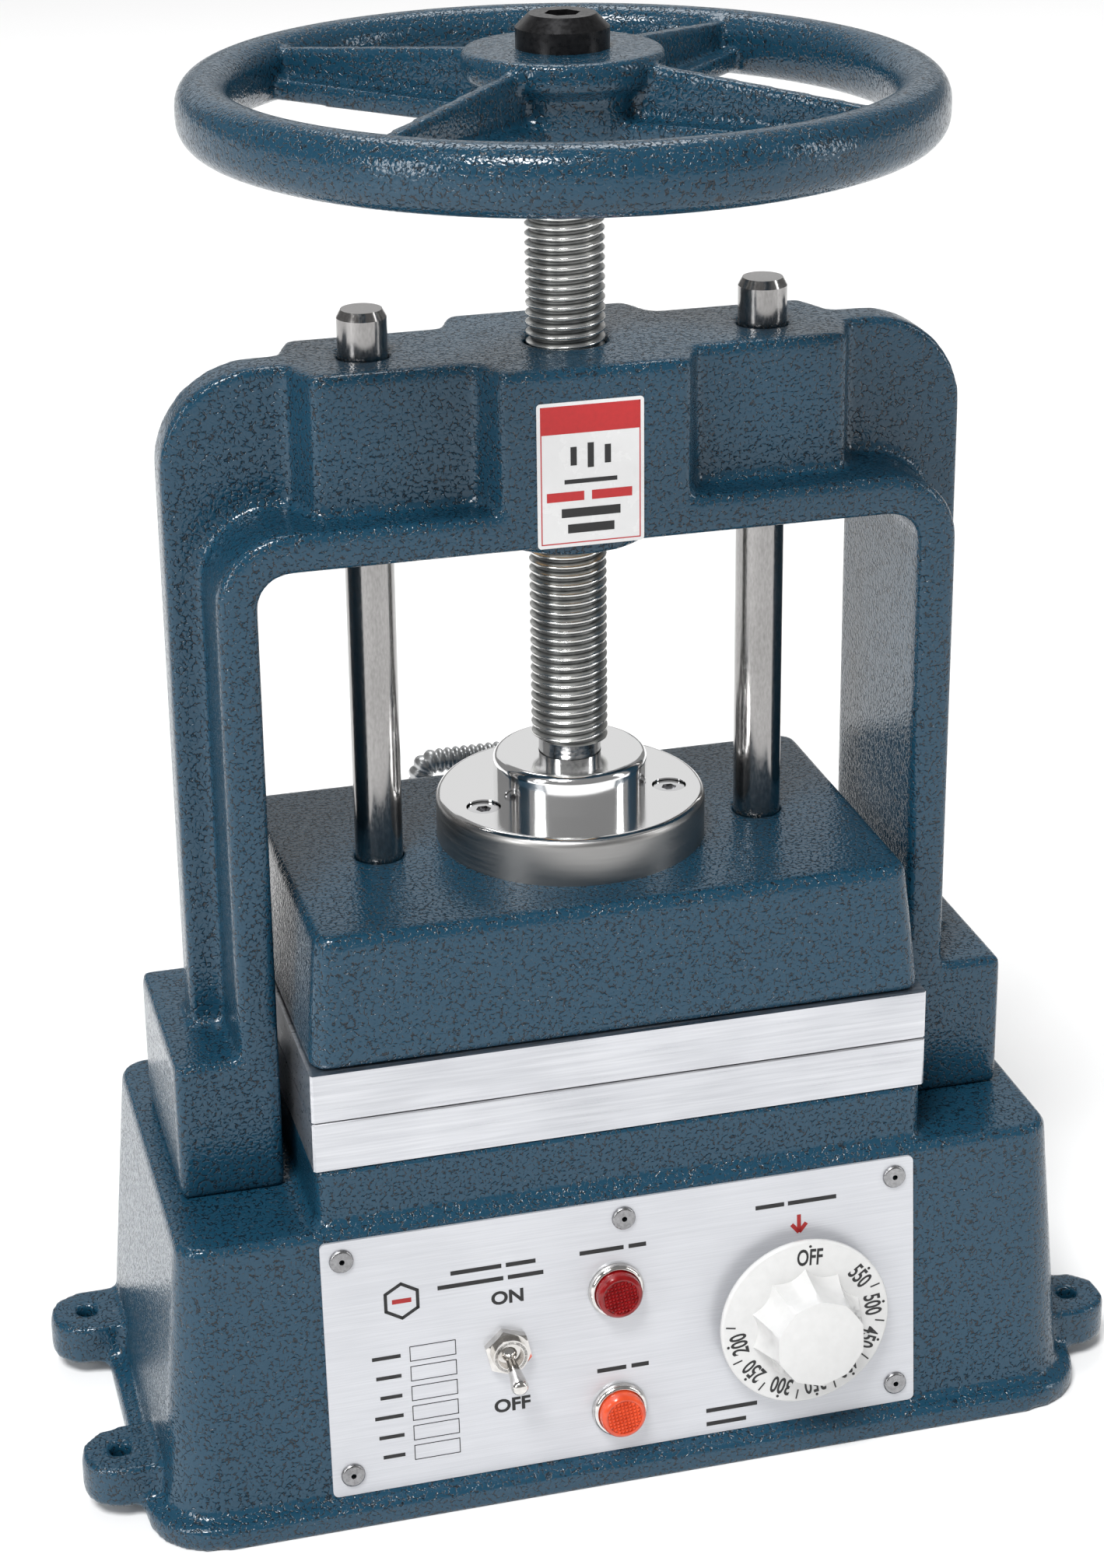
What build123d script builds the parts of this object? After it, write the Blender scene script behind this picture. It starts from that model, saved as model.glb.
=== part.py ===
from build123d import *
from math import cos, pi, radians, sin, tan
import os

# Bench-top heated platen press: a hollow cast base with a control panel, a cast yoke over it, and a
# carriage (block, platen, two guide rods) that a hand-turned screw raises and lowers.
# Millimetres. The origin is on the bench under the axis of the screw; +Z is up, the panel faces -Y.

os.makedirs("parts", exist_ok=True)

# ------------------------------------------------------------------ clearances
running = 0.05          # radial play of a turning or sliding fit
loose = 0.5             # play of a cover, a bolt or a lead in its hole
touch = 0.05            # gap between pieces that lie on each other but don't fuse

# ------------------------------------------------------------------ platens
platen_half_x = 103.45
platen_half_y = 65.7
platen_thickness = 17.0
platen_gap = 0.3        # press closed
board_thickness = 2.6
heater_inset_x = 24.45
heater_inset_y = 19.7
heater_half_x = platen_half_x - heater_inset_x
heater_half_y = platen_half_y - heater_inset_y
heater_thickness = 3.6
lower_screw_inset_x = 15.45
lower_screw_inset_y = 19.7
upper_screw_inset_x = 10.45
upper_screw_inset_y = 11.7

# ------------------------------------------------------------------ base casting
base_y = -3.0           # centre of the base, front to back
yoke_gap = 4.35         # platen edge to yoke leg
yoke_leg = 24.2
yoke_foot = 34.5
base_margin_x = 15.4    # yoke foot to the end of the body
base_margin_y = 10.0
yoke_inner_x = platen_half_x + yoke_gap
yoke_outer_x = yoke_inner_x + yoke_leg
foot_outer_x = yoke_inner_x + yoke_foot
base_half_x = foot_outer_x + base_margin_x     # body at bench level
base_half_y = platen_half_y + base_margin_y
base_height = 103.6     # bench to shoulder
base_draft = 4.8        # degrees, all four sides
base_corner = 18.0
base_wall = 6.0
base_roof = 8.0
rim_reach = 5.3         # bead round the foot of the casting
rim_height = 8.5
shoulder_round = 1.5
pedestal_inset_x = 0.45
pedestal_inset_y = 2.7
pedestal_half_x = platen_half_x - pedestal_inset_x
pedestal_half_y = platen_half_y - pedestal_inset_y
pedestal_height = 20.4
pedestal_corner = 4.0
lug_reach = 10.8
lug_inset = 32.7
lug_x = base_half_x + lug_reach
lug_y = base_half_y - lug_inset
lug_radius = 13.0
lug_bottom = 5.0
lug_thickness = 14.5
lug_hole = 3.5
cover_inset_x = 19.7
cover_inset_y = 21.7

# ------------------------------------------------------------------ upper block
block_inset_x = 0.95
block_inset_y = 1.4
block_taper_x = 4.0
block_taper_y = 4.8
block_foot_half_x = platen_half_x - block_inset_x
block_foot_half_y = platen_half_y - block_inset_y
block_top_half_x = block_foot_half_x - block_taper_x
block_top_half_y = block_foot_half_y - block_taper_y
block_height = 43.7
block_corner = 6.0
block_wall_x = 18.5
block_wall_y = 18.3
block_cavity_half_x = block_foot_half_x - block_wall_x
block_cavity_half_y = block_foot_half_y - block_wall_y
block_cavity_depth = 16.0

# ------------------------------------------------------------------ yoke
yoke_half_depth = 37.0
yoke_band = 13.0        # thickness of the deep band round the window
yoke_web_half = 7.5
yoke_headroom = 83.7    # collar to yoke, press closed
yoke_depth = 58.0
yoke_window_corner = 10.0
yoke_outer_corner = 32.0
bolt_inset = 16.3
bolt_y = 22.0
foot_height = 48.0
rod_boss_half = 23.5
centre_boss_half_x = 30.0
boss_flare = 6.5
under_boss_radius = 27.0
under_boss_height = 6.7

# ------------------------------------------------------------------ screw, rods, collar, wheel
screw_radius = 12.7
screw_pitch = 3.175
thread_depth = 1.7
thread_lift = 5.5       # collar to the first turn
neck_radius = 10.3
spigot_radius = 7.0
foot_disc_radius = 18.0
foot_disc_height = 10.9
thrust_thickness = 3.0
nut_radius = 19.0
nut_sink = 8.2
rod_radius = 7.95
rod_x = 65.6
rod_boss_in = rod_x - 29.6
rod_boss_out = rod_x + 20.4
rod_reach = 14.4
rod_seat = 22.0
rod_play = 0.1
collar_radius = 44.9
collar_thickness = 16.0
collar_hub_radius = 25.6
collar_hub_height = 13.5
collar_screw_ring = 33.0
collar_screw_angles = (90, 195, 345)
collar_recess = 6.6
collar_edge = 2.8
wheel_lift = 75.4       # yoke to the middle of the rim
wheel_radius = 110.6    # centre of the rim section
rim_half_width = 8.6
rim_half_height = 10.7
wheel_disc_radius = 31.6
wheel_disc_lift = 16.5
wheel_hub_radius = 26.0
wheel_bore = 9.5
spoke_angle = 45.0
spoke_web = 5.0
spoke_foot_width = 17.0
spoke_foot_height = 7.0
cap_radius = 14.6
cap_height = 10.4
cap_chamfer = 4.1
cap_socket = 10.0
cap_shank = 6.0

# ------------------------------------------------------------------ control panel
plate_x = -2.8          # panel features: x, and height v up the sloping front
plate_v = 55.4
plate_width = 202.0
plate_height = 91.2
plate_thickness = 1.0
rivet_x = 94.2
rivet_low = 17.2
rivet_high = 94.4
rivet_hole = 1.6
window_v = 50.5
window_half_x = 84.0
window_half_v = 38.0
toggle_x = -43.7
toggle_v = 53.5
toggle_tilt = 18.0      # either side of straight out
toggle_pivot = 1.0      # off the panel face
toggle_length = 19.0    # pivot to tip
toggle_bushing = 5.95
toggle_bore = 4.3
toggle_ball = 4.2
lamp_x = -6.2
lamp_vs = {"power": 69.2, "heat": 25.2}
lamp_body_radius = 6.9
lens_radius = 7.7
bezel_radius = 9.5
dial_x = 57.3
dial_v = 49.5
dial_radius = 29.5
dial_skirt_back = 5.5
dial_skirt_front = 8.0
dial_front = 24.0
dial_grip_foot = 18.5
dial_grip_face = 15.3
shaft_radius = 3.0

# ------------------------------------------------------------------ wiring
capillary_radius = 1.0
capillary_x = 40.0
capillary_lift = 6.4
bulb_radius = 3.0
conduit_radius = 4.6
conduit_bore = 3.4
conduit_x = 8.0
conduit_drop_x = -32.0
conduit_y = base_y + base_half_y + 15.3
conduit_low_z = 66.0
conduit_lift = 35.7     # block foot to the upper end of the conduit
conduit_bend = 12.0
gland_x = 62.0
gland_z = 32.0
cord_hole = 4.0

# ------------------------------------------------------------------ levels and planes that follow
draft = tan(radians(base_draft))
pedestal_top = base_height + pedestal_height
lower_platen_top = pedestal_top + platen_thickness
upper_platen_bottom = lower_platen_top + platen_gap
block_bottom = upper_platen_bottom + platen_thickness
heater_pocket = heater_thickness + board_thickness + 0.2
block_top = block_bottom + block_height
collar_top = block_top + collar_thickness
collar_hub_top = collar_top + collar_hub_height
yoke_underside = collar_hub_top + yoke_headroom
yoke_top = yoke_underside + yoke_depth
nut_top = yoke_top - nut_sink
rod_top = yoke_top + rod_reach
wheel_centre_z = yoke_top + wheel_lift
wheel_disc_top = wheel_centre_z + wheel_disc_lift
thread_start = collar_hub_top + thread_lift
capillary_z = base_height + capillary_lift
bulb_z = lower_platen_top - (platen_thickness - heater_pocket) / 2 - 0.2
conduit_high_z = block_bottom + conduit_lift
foot_disc_bottom = block_top - foot_disc_height - 2 * touch
thrust_bottom = foot_disc_bottom - touch - thrust_thickness
wheel_bottom = wheel_centre_z - rim_half_height
base_front = base_y - base_half_y
base_back = base_y + base_half_y
panel = Plane((0, base_front - touch, 0), x_dir=(1, 0, 0), z_dir=(0, -cos(radians(base_draft)), sin(radians(base_draft))))
rivet_points = [(plate_x - rivet_x, rivet_low), (plate_x + rivet_x, rivet_low), (plate_x, rivet_high)]
rivet_points += [(plate_x - rivet_x, rivet_high), (plate_x + rivet_x, rivet_high)]
lug_points = [(x, base_y + y) for x in (-lug_x, lug_x) for y in (-lug_y, lug_y)]
bolt_x = foot_outer_x - bolt_inset
bolt_points = [(x, y) for x in (-bolt_x, bolt_x) for y in (-bolt_y, bolt_y)]
lower_screw_x = platen_half_x - lower_screw_inset_x
lower_screw_y = platen_half_y - lower_screw_inset_y
upper_screw_x = platen_half_x - upper_screw_inset_x
upper_screw_y = platen_half_y - upper_screw_inset_y
lower_screw_points = [(x, y) for x in (-lower_screw_x, lower_screw_x) for y in (-lower_screw_y, lower_screw_y)]
upper_screw_points = [(x, y) for x in (-upper_screw_x, upper_screw_x) for y in (-upper_screw_y, upper_screw_y)]
terminal_points = [(-14, 38), (14, 38)]
cover_boss_x = base_half_x - cover_inset_x
cover_boss_y = base_half_y - cover_inset_y
cover_boss_points = [(x, base_y + y) for x in (-cover_boss_x, cover_boss_x) for y in (-cover_boss_y, cover_boss_y)]


def ring_edges(part, z, reach_x, reach_y):
    """Edges at height z that lie inside a rectangle about the centre of the base."""
    level = part.edges().filter_by_position(Axis.Z, z - 0.01, z + 0.01)
    across = level.filter_by_position(Axis.X, -reach_x, reach_x)
    return across.filter_by_position(Axis.Y, base_y - reach_y, base_y + reach_y)


def spoke_plane(angle):
    """Upright plane through the screw axis with its x direction pointing out at the given angle."""
    turn = radians(angle)
    return Plane((0, 0, 0), x_dir=(cos(turn), sin(turn), 0), z_dir=(sin(turn), -cos(turn), 0))


# ================================================================== base
with BuildPart() as base_housing:
    with BuildSketch(Plane.XY):
        with Locations((0, base_y)):
            RectangleRounded(2 * (base_half_x + rim_reach), 2 * (base_half_y + rim_reach), base_corner + rim_reach)
    extrude(amount=rim_height)
    fillet(base_housing.edges().group_by(Axis.Z)[-1], 2.5)
    with BuildSketch(Plane.XY):
        with Locations((0, base_y)):
            RectangleRounded(2 * base_half_x, 2 * base_half_y, base_corner)
    extrude(amount=base_height, taper=base_draft)
    fillet(base_housing.edges().group_by(Axis.Z)[-1], shoulder_round)
    with BuildSketch(Plane.XY.offset(lug_bottom)):
        with Locations(*lug_points):
            Circle(lug_radius)
        for x, y in lug_points:
            with Locations((x * 0.94, y)):
                Rectangle(lug_x * 0.12, 2 * lug_radius)
    extrude(amount=lug_thickness)
    with BuildSketch(Plane.XY.offset(base_height)):
        with Locations((0, base_y)):
            RectangleRounded(2 * pedestal_half_x, 2 * pedestal_half_y, pedestal_corner)
    extrude(amount=pedestal_height)
    fillet(ring_edges(base_housing, base_height, pedestal_half_x + 1, pedestal_half_y + 1), 2.2)
    with BuildSketch(Plane.XY):
        with Locations((0, base_y)):
            RectangleRounded(2 * (base_half_x - base_wall), 2 * (base_half_y - base_wall), base_corner - base_wall)
    extrude(amount=base_height - base_roof, taper=base_draft, mode=Mode.SUBTRACT)
    with BuildSketch(Plane.XY.offset(base_height - base_roof)):
        with Locations((0, base_y)):
            Rectangle(2 * (pedestal_half_x - base_roof), 2 * (pedestal_half_y - base_roof))
    extrude(amount=pedestal_height, mode=Mode.SUBTRACT)
    with BuildSketch(Plane.XY.offset(2.1)):
        with Locations(*cover_boss_points):
            Circle(6)
    extrude(amount=base_height - base_roof - 2.1)
    with BuildSketch(Plane.XY):
        with Locations(*lug_points):
            Circle(lug_hole)
        with Locations(*cover_boss_points):
            Circle(2)
    extrude(amount=lug_bottom + lug_thickness, mode=Mode.SUBTRACT)
    with BuildSketch(Plane.XY.offset(base_height - base_roof)):
        with Locations(*bolt_points):
            Circle(5 + loose)
    extrude(amount=base_roof, mode=Mode.SUBTRACT)
    with BuildSketch(Plane.XY.offset(pedestal_top - base_roof)):
        with Locations(*lower_screw_points):
            Circle(2.5 + loose)
        with Locations(*terminal_points):
            Circle(4)
    extrude(amount=base_roof, mode=Mode.SUBTRACT)
    with BuildSketch(Plane.XZ.offset(-base_y - pedestal_half_y - 1)):
        with Locations((capillary_x, capillary_z)):
            Circle(capillary_radius + loose)
    extrude(amount=base_roof + 2, mode=Mode.SUBTRACT)
    with BuildSketch(panel.offset(1)):
        with Locations((plate_x, window_v)):
            RectangleRounded(2 * window_half_x, 2 * window_half_v, 6)
        with Locations(*rivet_points):
            Circle(rivet_hole)
    extrude(amount=-(base_wall + 3), mode=Mode.SUBTRACT)
    with BuildSketch(Plane.XZ.offset(-base_back - 1)):
        with Locations((conduit_drop_x, conduit_low_z)):
            Circle(6)
        with Locations((gland_x, gland_z)):
            Circle(7)
    extrude(amount=18, mode=Mode.SUBTRACT)
base_housing.part.label = "base_housing"
export_step(base_housing.part, "parts/base_housing.step")

with BuildPart() as bottom_cover:
    with BuildSketch(Plane.XY.offset(0.6)):
        with Locations((0, base_y)):
            inner_x = base_half_x - base_wall - loose
            inner_y = base_half_y - base_wall - loose
            RectangleRounded(2 * inner_x, 2 * inner_y, base_corner - base_wall)
        with Locations(*cover_boss_points):
            Circle(2 + loose, mode=Mode.SUBTRACT)
    extrude(amount=1.45)
bottom_cover.part.label = "bottom_cover"
export_step(bottom_cover.part, "parts/bottom_cover.step")

with BuildPart() as bottom_cover_screws:
    with BuildSketch(Plane.XY.offset(0.1)):
        with Locations(*cover_boss_points):
            Circle(4)
            Rectangle(5, 1, mode=Mode.SUBTRACT)
    extrude(amount=0.5)
    with BuildSketch(Plane.XY.offset(0.6)):
        with Locations(*cover_boss_points):
            Circle(2 - running)
    extrude(amount=14)
bottom_cover_screws.part.label = "bottom_cover_screws"
export_step(bottom_cover_screws.part, "parts/bottom_cover_screws.step")

# ================================================================== yoke
window_top_corner = yoke_window_corner + yoke_band
with BuildPart() as press_yoke:
    with BuildSketch(Plane.XZ):
        with BuildLine():
            band_x = yoke_inner_x + yoke_band
            band_z = yoke_underside + yoke_band
            FilletPolyline((-band_x, base_height), (-band_x, band_z), (band_x, band_z), (band_x, base_height),
                           radius=window_top_corner)
            Line((band_x, base_height), (-band_x, base_height))
        make_face()
    extrude(amount=yoke_half_depth, both=True)
    fillet(press_yoke.edges().filter_by(Axis.Y, reverse=True), 2.0)
    with BuildSketch(Plane.XZ):
        with BuildLine():
            FilletPolyline((-yoke_outer_x, base_height), (-yoke_outer_x, yoke_top), (yoke_outer_x, yoke_top),
                           (yoke_outer_x, base_height), radius=yoke_outer_corner)
            Line((yoke_outer_x, base_height), (-yoke_outer_x, base_height))
        make_face()
    extrude(amount=yoke_web_half, both=True)
    half_plan = [(centre_boss_half_x, yoke_half_depth), (rod_boss_in, rod_boss_half), (rod_boss_out, rod_boss_half),
                 (rod_boss_out + boss_flare, yoke_web_half - 1), (rod_boss_out + boss_flare, 0)]
    with BuildSketch(Plane.XY.offset(yoke_underside + 2)):
        with BuildLine():
            Polyline(*half_plan, (0, 0), (0, yoke_half_depth), close=True)
        make_face()
        mirror(about=Plane.YZ)
        mirror(about=Plane.XZ)
    extrude(amount=yoke_top - yoke_underside - 2)
    with BuildSketch(Plane.XY.offset(base_height)):
        with Locations((-(yoke_inner_x + foot_outer_x) / 2, 0), ((yoke_inner_x + foot_outer_x) / 2, 0)):
            Rectangle(foot_outer_x - yoke_inner_x, 2 * yoke_half_depth)
    extrude(amount=foot_height)
    with BuildSketch(Plane.XZ):
        with BuildLine():
            FilletPolyline((-yoke_inner_x, base_height - 1), (-yoke_inner_x, yoke_underside),
                           (yoke_inner_x, yoke_underside), (yoke_inner_x, base_height - 1), radius=yoke_window_corner)
            Line((yoke_inner_x, base_height - 1), (-yoke_inner_x, base_height - 1))
        make_face()
    extrude(amount=yoke_half_depth + 5, both=True, mode=Mode.SUBTRACT)
    with BuildSketch(Plane.XY.offset(yoke_underside - under_boss_height)):
        Circle(under_boss_radius)
    extrude(amount=under_boss_height + 1)
    with BuildSketch(Plane.XY.offset(yoke_underside - under_boss_height)):
        Circle(nut_radius)
    extrude(amount=nut_top - yoke_underside + under_boss_height, mode=Mode.SUBTRACT)
    with BuildSketch(Plane.XY.offset(yoke_underside)):
        Circle(screw_radius + loose)
        with Locations((-rod_x, 0), (rod_x, 0)):
            Circle(rod_radius + rod_play)
    extrude(amount=yoke_top - yoke_underside, mode=Mode.SUBTRACT)
    with BuildSketch(Plane.XY.offset(base_height)):
        with Locations(*bolt_points):
            Circle(5)
    extrude(amount=30, mode=Mode.SUBTRACT)
    with BuildSketch(Plane.XZ.offset(-yoke_half_depth)):
        with Locations((0, yoke_underside + 30)):
            Circle(3)
    extrude(amount=yoke_half_depth - nut_radius + 2, mode=Mode.SUBTRACT)
press_yoke.part.label = "press_yoke"
export_step(press_yoke.part, "parts/press_yoke.step")

with BuildPart() as yoke_bolts:
    with BuildSketch(Plane.XY.offset(base_height - base_roof - 8)):
        with Locations(*bolt_points):
            RegularPolygon(9, 6)
    extrude(amount=6.4)
    with BuildSketch(Plane.XY.offset(base_height - base_roof - 1.6)):
        with Locations(*bolt_points):
            Circle(5 - running)
    extrude(amount=base_roof + 27)
yoke_bolts.part.label = "yoke_bolts"
export_step(yoke_bolts.part, "parts/yoke_bolts.step")

with BuildPart() as yoke_bolt_washers:
    with BuildSketch(Plane.XY.offset(base_height - base_roof - 1.6)):
        with Locations(*bolt_points):
            Circle(10)
            Circle(5 + loose / 2, mode=Mode.SUBTRACT)
    extrude(amount=1.6)
yoke_bolt_washers.part.label = "yoke_bolt_washers"
export_step(yoke_bolt_washers.part, "parts/yoke_bolt_washers.step")

with BuildPart() as screw_nut:
    with BuildSketch(Plane.XY.offset(yoke_underside - under_boss_height)):
        Circle(nut_radius - touch)
        Circle(screw_radius + running, mode=Mode.SUBTRACT)
    extrude(amount=nut_top - yoke_underside + under_boss_height - touch)
    with BuildSketch(Plane.XZ.offset(-nut_radius)):
        with Locations((0, yoke_underside + 30)):
            Circle(3)
    extrude(amount=2.5, mode=Mode.SUBTRACT)
screw_nut.part.label = "screw_nut"
export_step(screw_nut.part, "parts/screw_nut.step")

with BuildPart() as nut_grub_screw:
    with BuildSketch(Plane.XZ.offset(-nut_radius + 2)):
        with Locations((0, yoke_underside + 30)):
            Circle(3 - running)
    extrude(amount=-13)
    with BuildSketch(Plane.XZ.offset(-nut_radius - 11)):
        with Locations((0, yoke_underside + 30)):
            RegularPolygon(1.8, 6)
    extrude(amount=3, mode=Mode.SUBTRACT)
nut_grub_screw.part.label = "nut_grub_screw"
export_step(nut_grub_screw.part, "parts/nut_grub_screw.step")

with BuildPart() as yoke_label:
    with BuildSketch(Plane.XZ.offset(yoke_half_depth)):
        with Locations((-2.4, 339.5)):
            RectangleRounded(34.4, 47, 1.2)
    extrude(amount=0.3)
yoke_label.part.label = "yoke_label"
export_step(yoke_label.part, "parts/yoke_label.step")

# ================================================================== lower platen
with BuildPart() as lower_platen:
    with BuildSketch(Plane.XY.offset(pedestal_top)):
        Rectangle(2 * platen_half_x, 2 * platen_half_y)
    extrude(amount=platen_thickness)
    chamfer(lower_platen.edges().filter_by(Axis.Z), 0.8)
    chamfer(lower_platen.faces().sort_by(Axis.Z)[-1].edges(), 0.4)
    with BuildSketch(Plane.XY.offset(pedestal_top)):
        Rectangle(2 * heater_half_x + 2, 2 * heater_half_y + 2)
    extrude(amount=heater_pocket, mode=Mode.SUBTRACT)
    with BuildSketch(Plane.XY.offset(pedestal_top)):
        with Locations(*lower_screw_points):
            Circle(2.5)
    extrude(amount=12, mode=Mode.SUBTRACT)
    with BuildSketch(Plane.XZ.offset(-platen_half_y - 1)):
        with Locations((capillary_x, bulb_z)):
            Circle(bulb_radius + 0.2)
    extrude(amount=72, mode=Mode.SUBTRACT)
lower_platen.part.label = "lower_platen"
export_step(lower_platen.part, "parts/lower_platen.step")

with BuildPart() as lower_heater:
    with BuildSketch(Plane.XY.offset(pedestal_top + board_thickness + touch)):
        Rectangle(2 * heater_half_x, 2 * heater_half_y)
    extrude(amount=heater_thickness)
    with BuildSketch(Plane.XY.offset(pedestal_top - base_roof - 6)):
        with Locations(*terminal_points):
            Circle(2)
    extrude(amount=base_roof + 6 + board_thickness + touch)
lower_heater.part.label = "lower_heater"
export_step(lower_heater.part, "parts/lower_heater.step")

with BuildPart() as lower_board:
    with BuildSketch(Plane.XY.offset(pedestal_top)):
        Rectangle(2 * heater_half_x + 1, 2 * heater_half_y + 1)
        with Locations(*terminal_points):
            Circle(2.5, mode=Mode.SUBTRACT)
    extrude(amount=board_thickness)
lower_board.part.label = "lower_board"
export_step(lower_board.part, "parts/lower_board.step")

with BuildPart() as lower_platen_screws:
    with BuildSketch(Plane.XY.offset(pedestal_top - base_roof - 5)):
        with Locations(*lower_screw_points):
            Circle(4.2)
            RegularPolygon(2.3, 6, mode=Mode.SUBTRACT)
    extrude(amount=3)
    with BuildSketch(Plane.XY.offset(pedestal_top - base_roof - 2)):
        with Locations(*lower_screw_points):
            Circle(4.2)
    extrude(amount=2)
    with BuildSketch(Plane.XY.offset(pedestal_top - base_roof)):
        with Locations(*lower_screw_points):
            Circle(2.5 - running)
    extrude(amount=base_roof + 11)
lower_platen_screws.part.label = "lower_platen_screws"
export_step(lower_platen_screws.part, "parts/lower_platen_screws.step")

with BuildPart() as thermostat_bulb:
    with BuildSketch(Plane.XZ.offset(-platen_half_y - 2)):
        with Locations((capillary_x, bulb_z)):
            Circle(bulb_radius)
    extrude(amount=66)
thermostat_bulb.part.label = "thermostat_bulb"
export_step(thermostat_bulb.part, "parts/thermostat_bulb.step")

with BuildPart() as capillary_tube:
    with BuildLine() as capillary_path:
        FilletPolyline((capillary_x, platen_half_y + 2, bulb_z),
                       (capillary_x, platen_half_y + 9, bulb_z),
                       (capillary_x, platen_half_y + 9, capillary_z),
                       (capillary_x, 8, capillary_z),
                       (capillary_x, 8, 50),
                       (capillary_x, base_front + 40, 50), radius=4)
    with BuildSketch(Plane((capillary_x, platen_half_y + 2, bulb_z), z_dir=(0, 1, 0))):
        Circle(capillary_radius)
    sweep(path=capillary_path.line)
capillary_tube.part.label = "capillary_tube"
export_step(capillary_tube.part, "parts/capillary_tube.step")

# ================================================================== control panel
with BuildPart() as control_plate:
    with BuildSketch(panel):
        with Locations((plate_x, plate_v)):
            RectangleRounded(plate_width, plate_height, 2)
        with Locations(*rivet_points):
            Circle(rivet_hole, mode=Mode.SUBTRACT)
        with Locations((toggle_x, toggle_v)):
            Circle(toggle_bushing + touch, mode=Mode.SUBTRACT)
        with Locations(*[(lamp_x, v) for v in lamp_vs.values()]):
            Circle(lamp_body_radius + touch, mode=Mode.SUBTRACT)
        with Locations((dial_x, dial_v)):
            Circle(shaft_radius + loose, mode=Mode.SUBTRACT)
        with Locations((dial_x - 13, dial_v), (dial_x + 13, dial_v)):
            Circle(2, mode=Mode.SUBTRACT)
    extrude(amount=plate_thickness)
control_plate.part.label = "control_plate"
export_step(control_plate.part, "parts/control_plate.step")

with BuildPart() as plate_rivets:
    with BuildSketch(panel.offset(plate_thickness)):
        with Locations(*rivet_points):
            Circle(4)
    extrude(amount=1.2)
    fillet(plate_rivets.edges().group_by(Axis((0, base_front, 0), tuple(panel.z_dir)))[-1], 0.9)
    with BuildSketch(panel.offset(plate_thickness)):
        with Locations(*rivet_points):
            Circle(rivet_hole - running)
    extrude(amount=-plate_thickness - 7)
    with BuildSketch(panel.offset(plate_thickness + 2)):
        with Locations(*rivet_points):
            Circle(0.9)
    extrude(amount=-6, mode=Mode.SUBTRACT)
plate_rivets.part.label = "plate_rivets"
export_step(plate_rivets.part, "parts/plate_rivets.step")

with BuildPart() as toggle_body:
    with BuildSketch(panel.offset(-27)):
        with Locations((toggle_x, toggle_v)):
            Rectangle(18, 30)
    extrude(amount=25.5)
    with BuildSketch(panel.offset(-1.5)):
        with Locations((toggle_x, toggle_v)):
            Circle(toggle_bushing)
    extrude(amount=8)
    with BuildSketch(panel.offset(-9)):
        with Locations((toggle_x, toggle_v)):
            Circle(toggle_bore)
    extrude(amount=16, mode=Mode.SUBTRACT)
    with BuildSketch(panel.offset(-30)):
        with Locations((toggle_x, toggle_v - 9), (toggle_x, toggle_v + 9)):
            Rectangle(6, 1)
    extrude(amount=3)
toggle_body.part.label = "toggle_body"
export_step(toggle_body.part, "parts/toggle_body.step")

with BuildPart() as toggle_ring:
    with BuildSketch(panel.offset(-1.5)):
        with Locations((toggle_x, toggle_v)):
            Circle(8.5)
            Circle(toggle_bushing + running, mode=Mode.SUBTRACT)
    extrude(amount=1.5)
toggle_ring.part.label = "toggle_ring"
export_step(toggle_ring.part, "parts/toggle_ring.step")

with BuildPart() as toggle_nut:
    with BuildSketch(panel.offset(plate_thickness)):
        with Locations((toggle_x, toggle_v)):
            RegularPolygon(8.1, 6, rotation=12)
    extrude(amount=3.2)
    with BuildSketch(panel.offset(plate_thickness)):
        with Locations((toggle_x, toggle_v)):
            Circle(toggle_bushing + running)
    extrude(amount=4, mode=Mode.SUBTRACT)
toggle_nut.part.label = "toggle_nut"
export_step(toggle_nut.part, "parts/toggle_nut.step")

toggle_centre = panel.from_local_coords((toggle_x, toggle_v, toggle_pivot))
lever_down = radians(base_draft + toggle_tilt - 2 * base_draft)
lever = Plane(toggle_centre, x_dir=(1, 0, 0), z_dir=(0, -cos(lever_down), -sin(lever_down)))
with BuildPart() as toggle_lever:
    with BuildSketch(lever):
        Circle(1.6)
    extrude(amount=7)
    with BuildSketch(lever.offset(6)):
        Circle(1.6)
    with BuildSketch(lever.offset(toggle_length - 4)):
        Circle(2.9)
    loft()
    with BuildSketch(lever.offset(toggle_length - 4)):
        Circle(2.9)
    extrude(amount=4)
    fillet(toggle_lever.edges().group_by(Axis(toggle_centre, lever.z_dir))[-1], 2.3)
    with Locations(toggle_centre):
        Sphere(toggle_ball)
    with BuildSketch(lever.offset(-7)):
        Circle(1.4)
    extrude(amount=7)
toggle_lever.part.label = "toggle_lever"
export_step(toggle_lever.part, "parts/toggle_lever.step")

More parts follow.
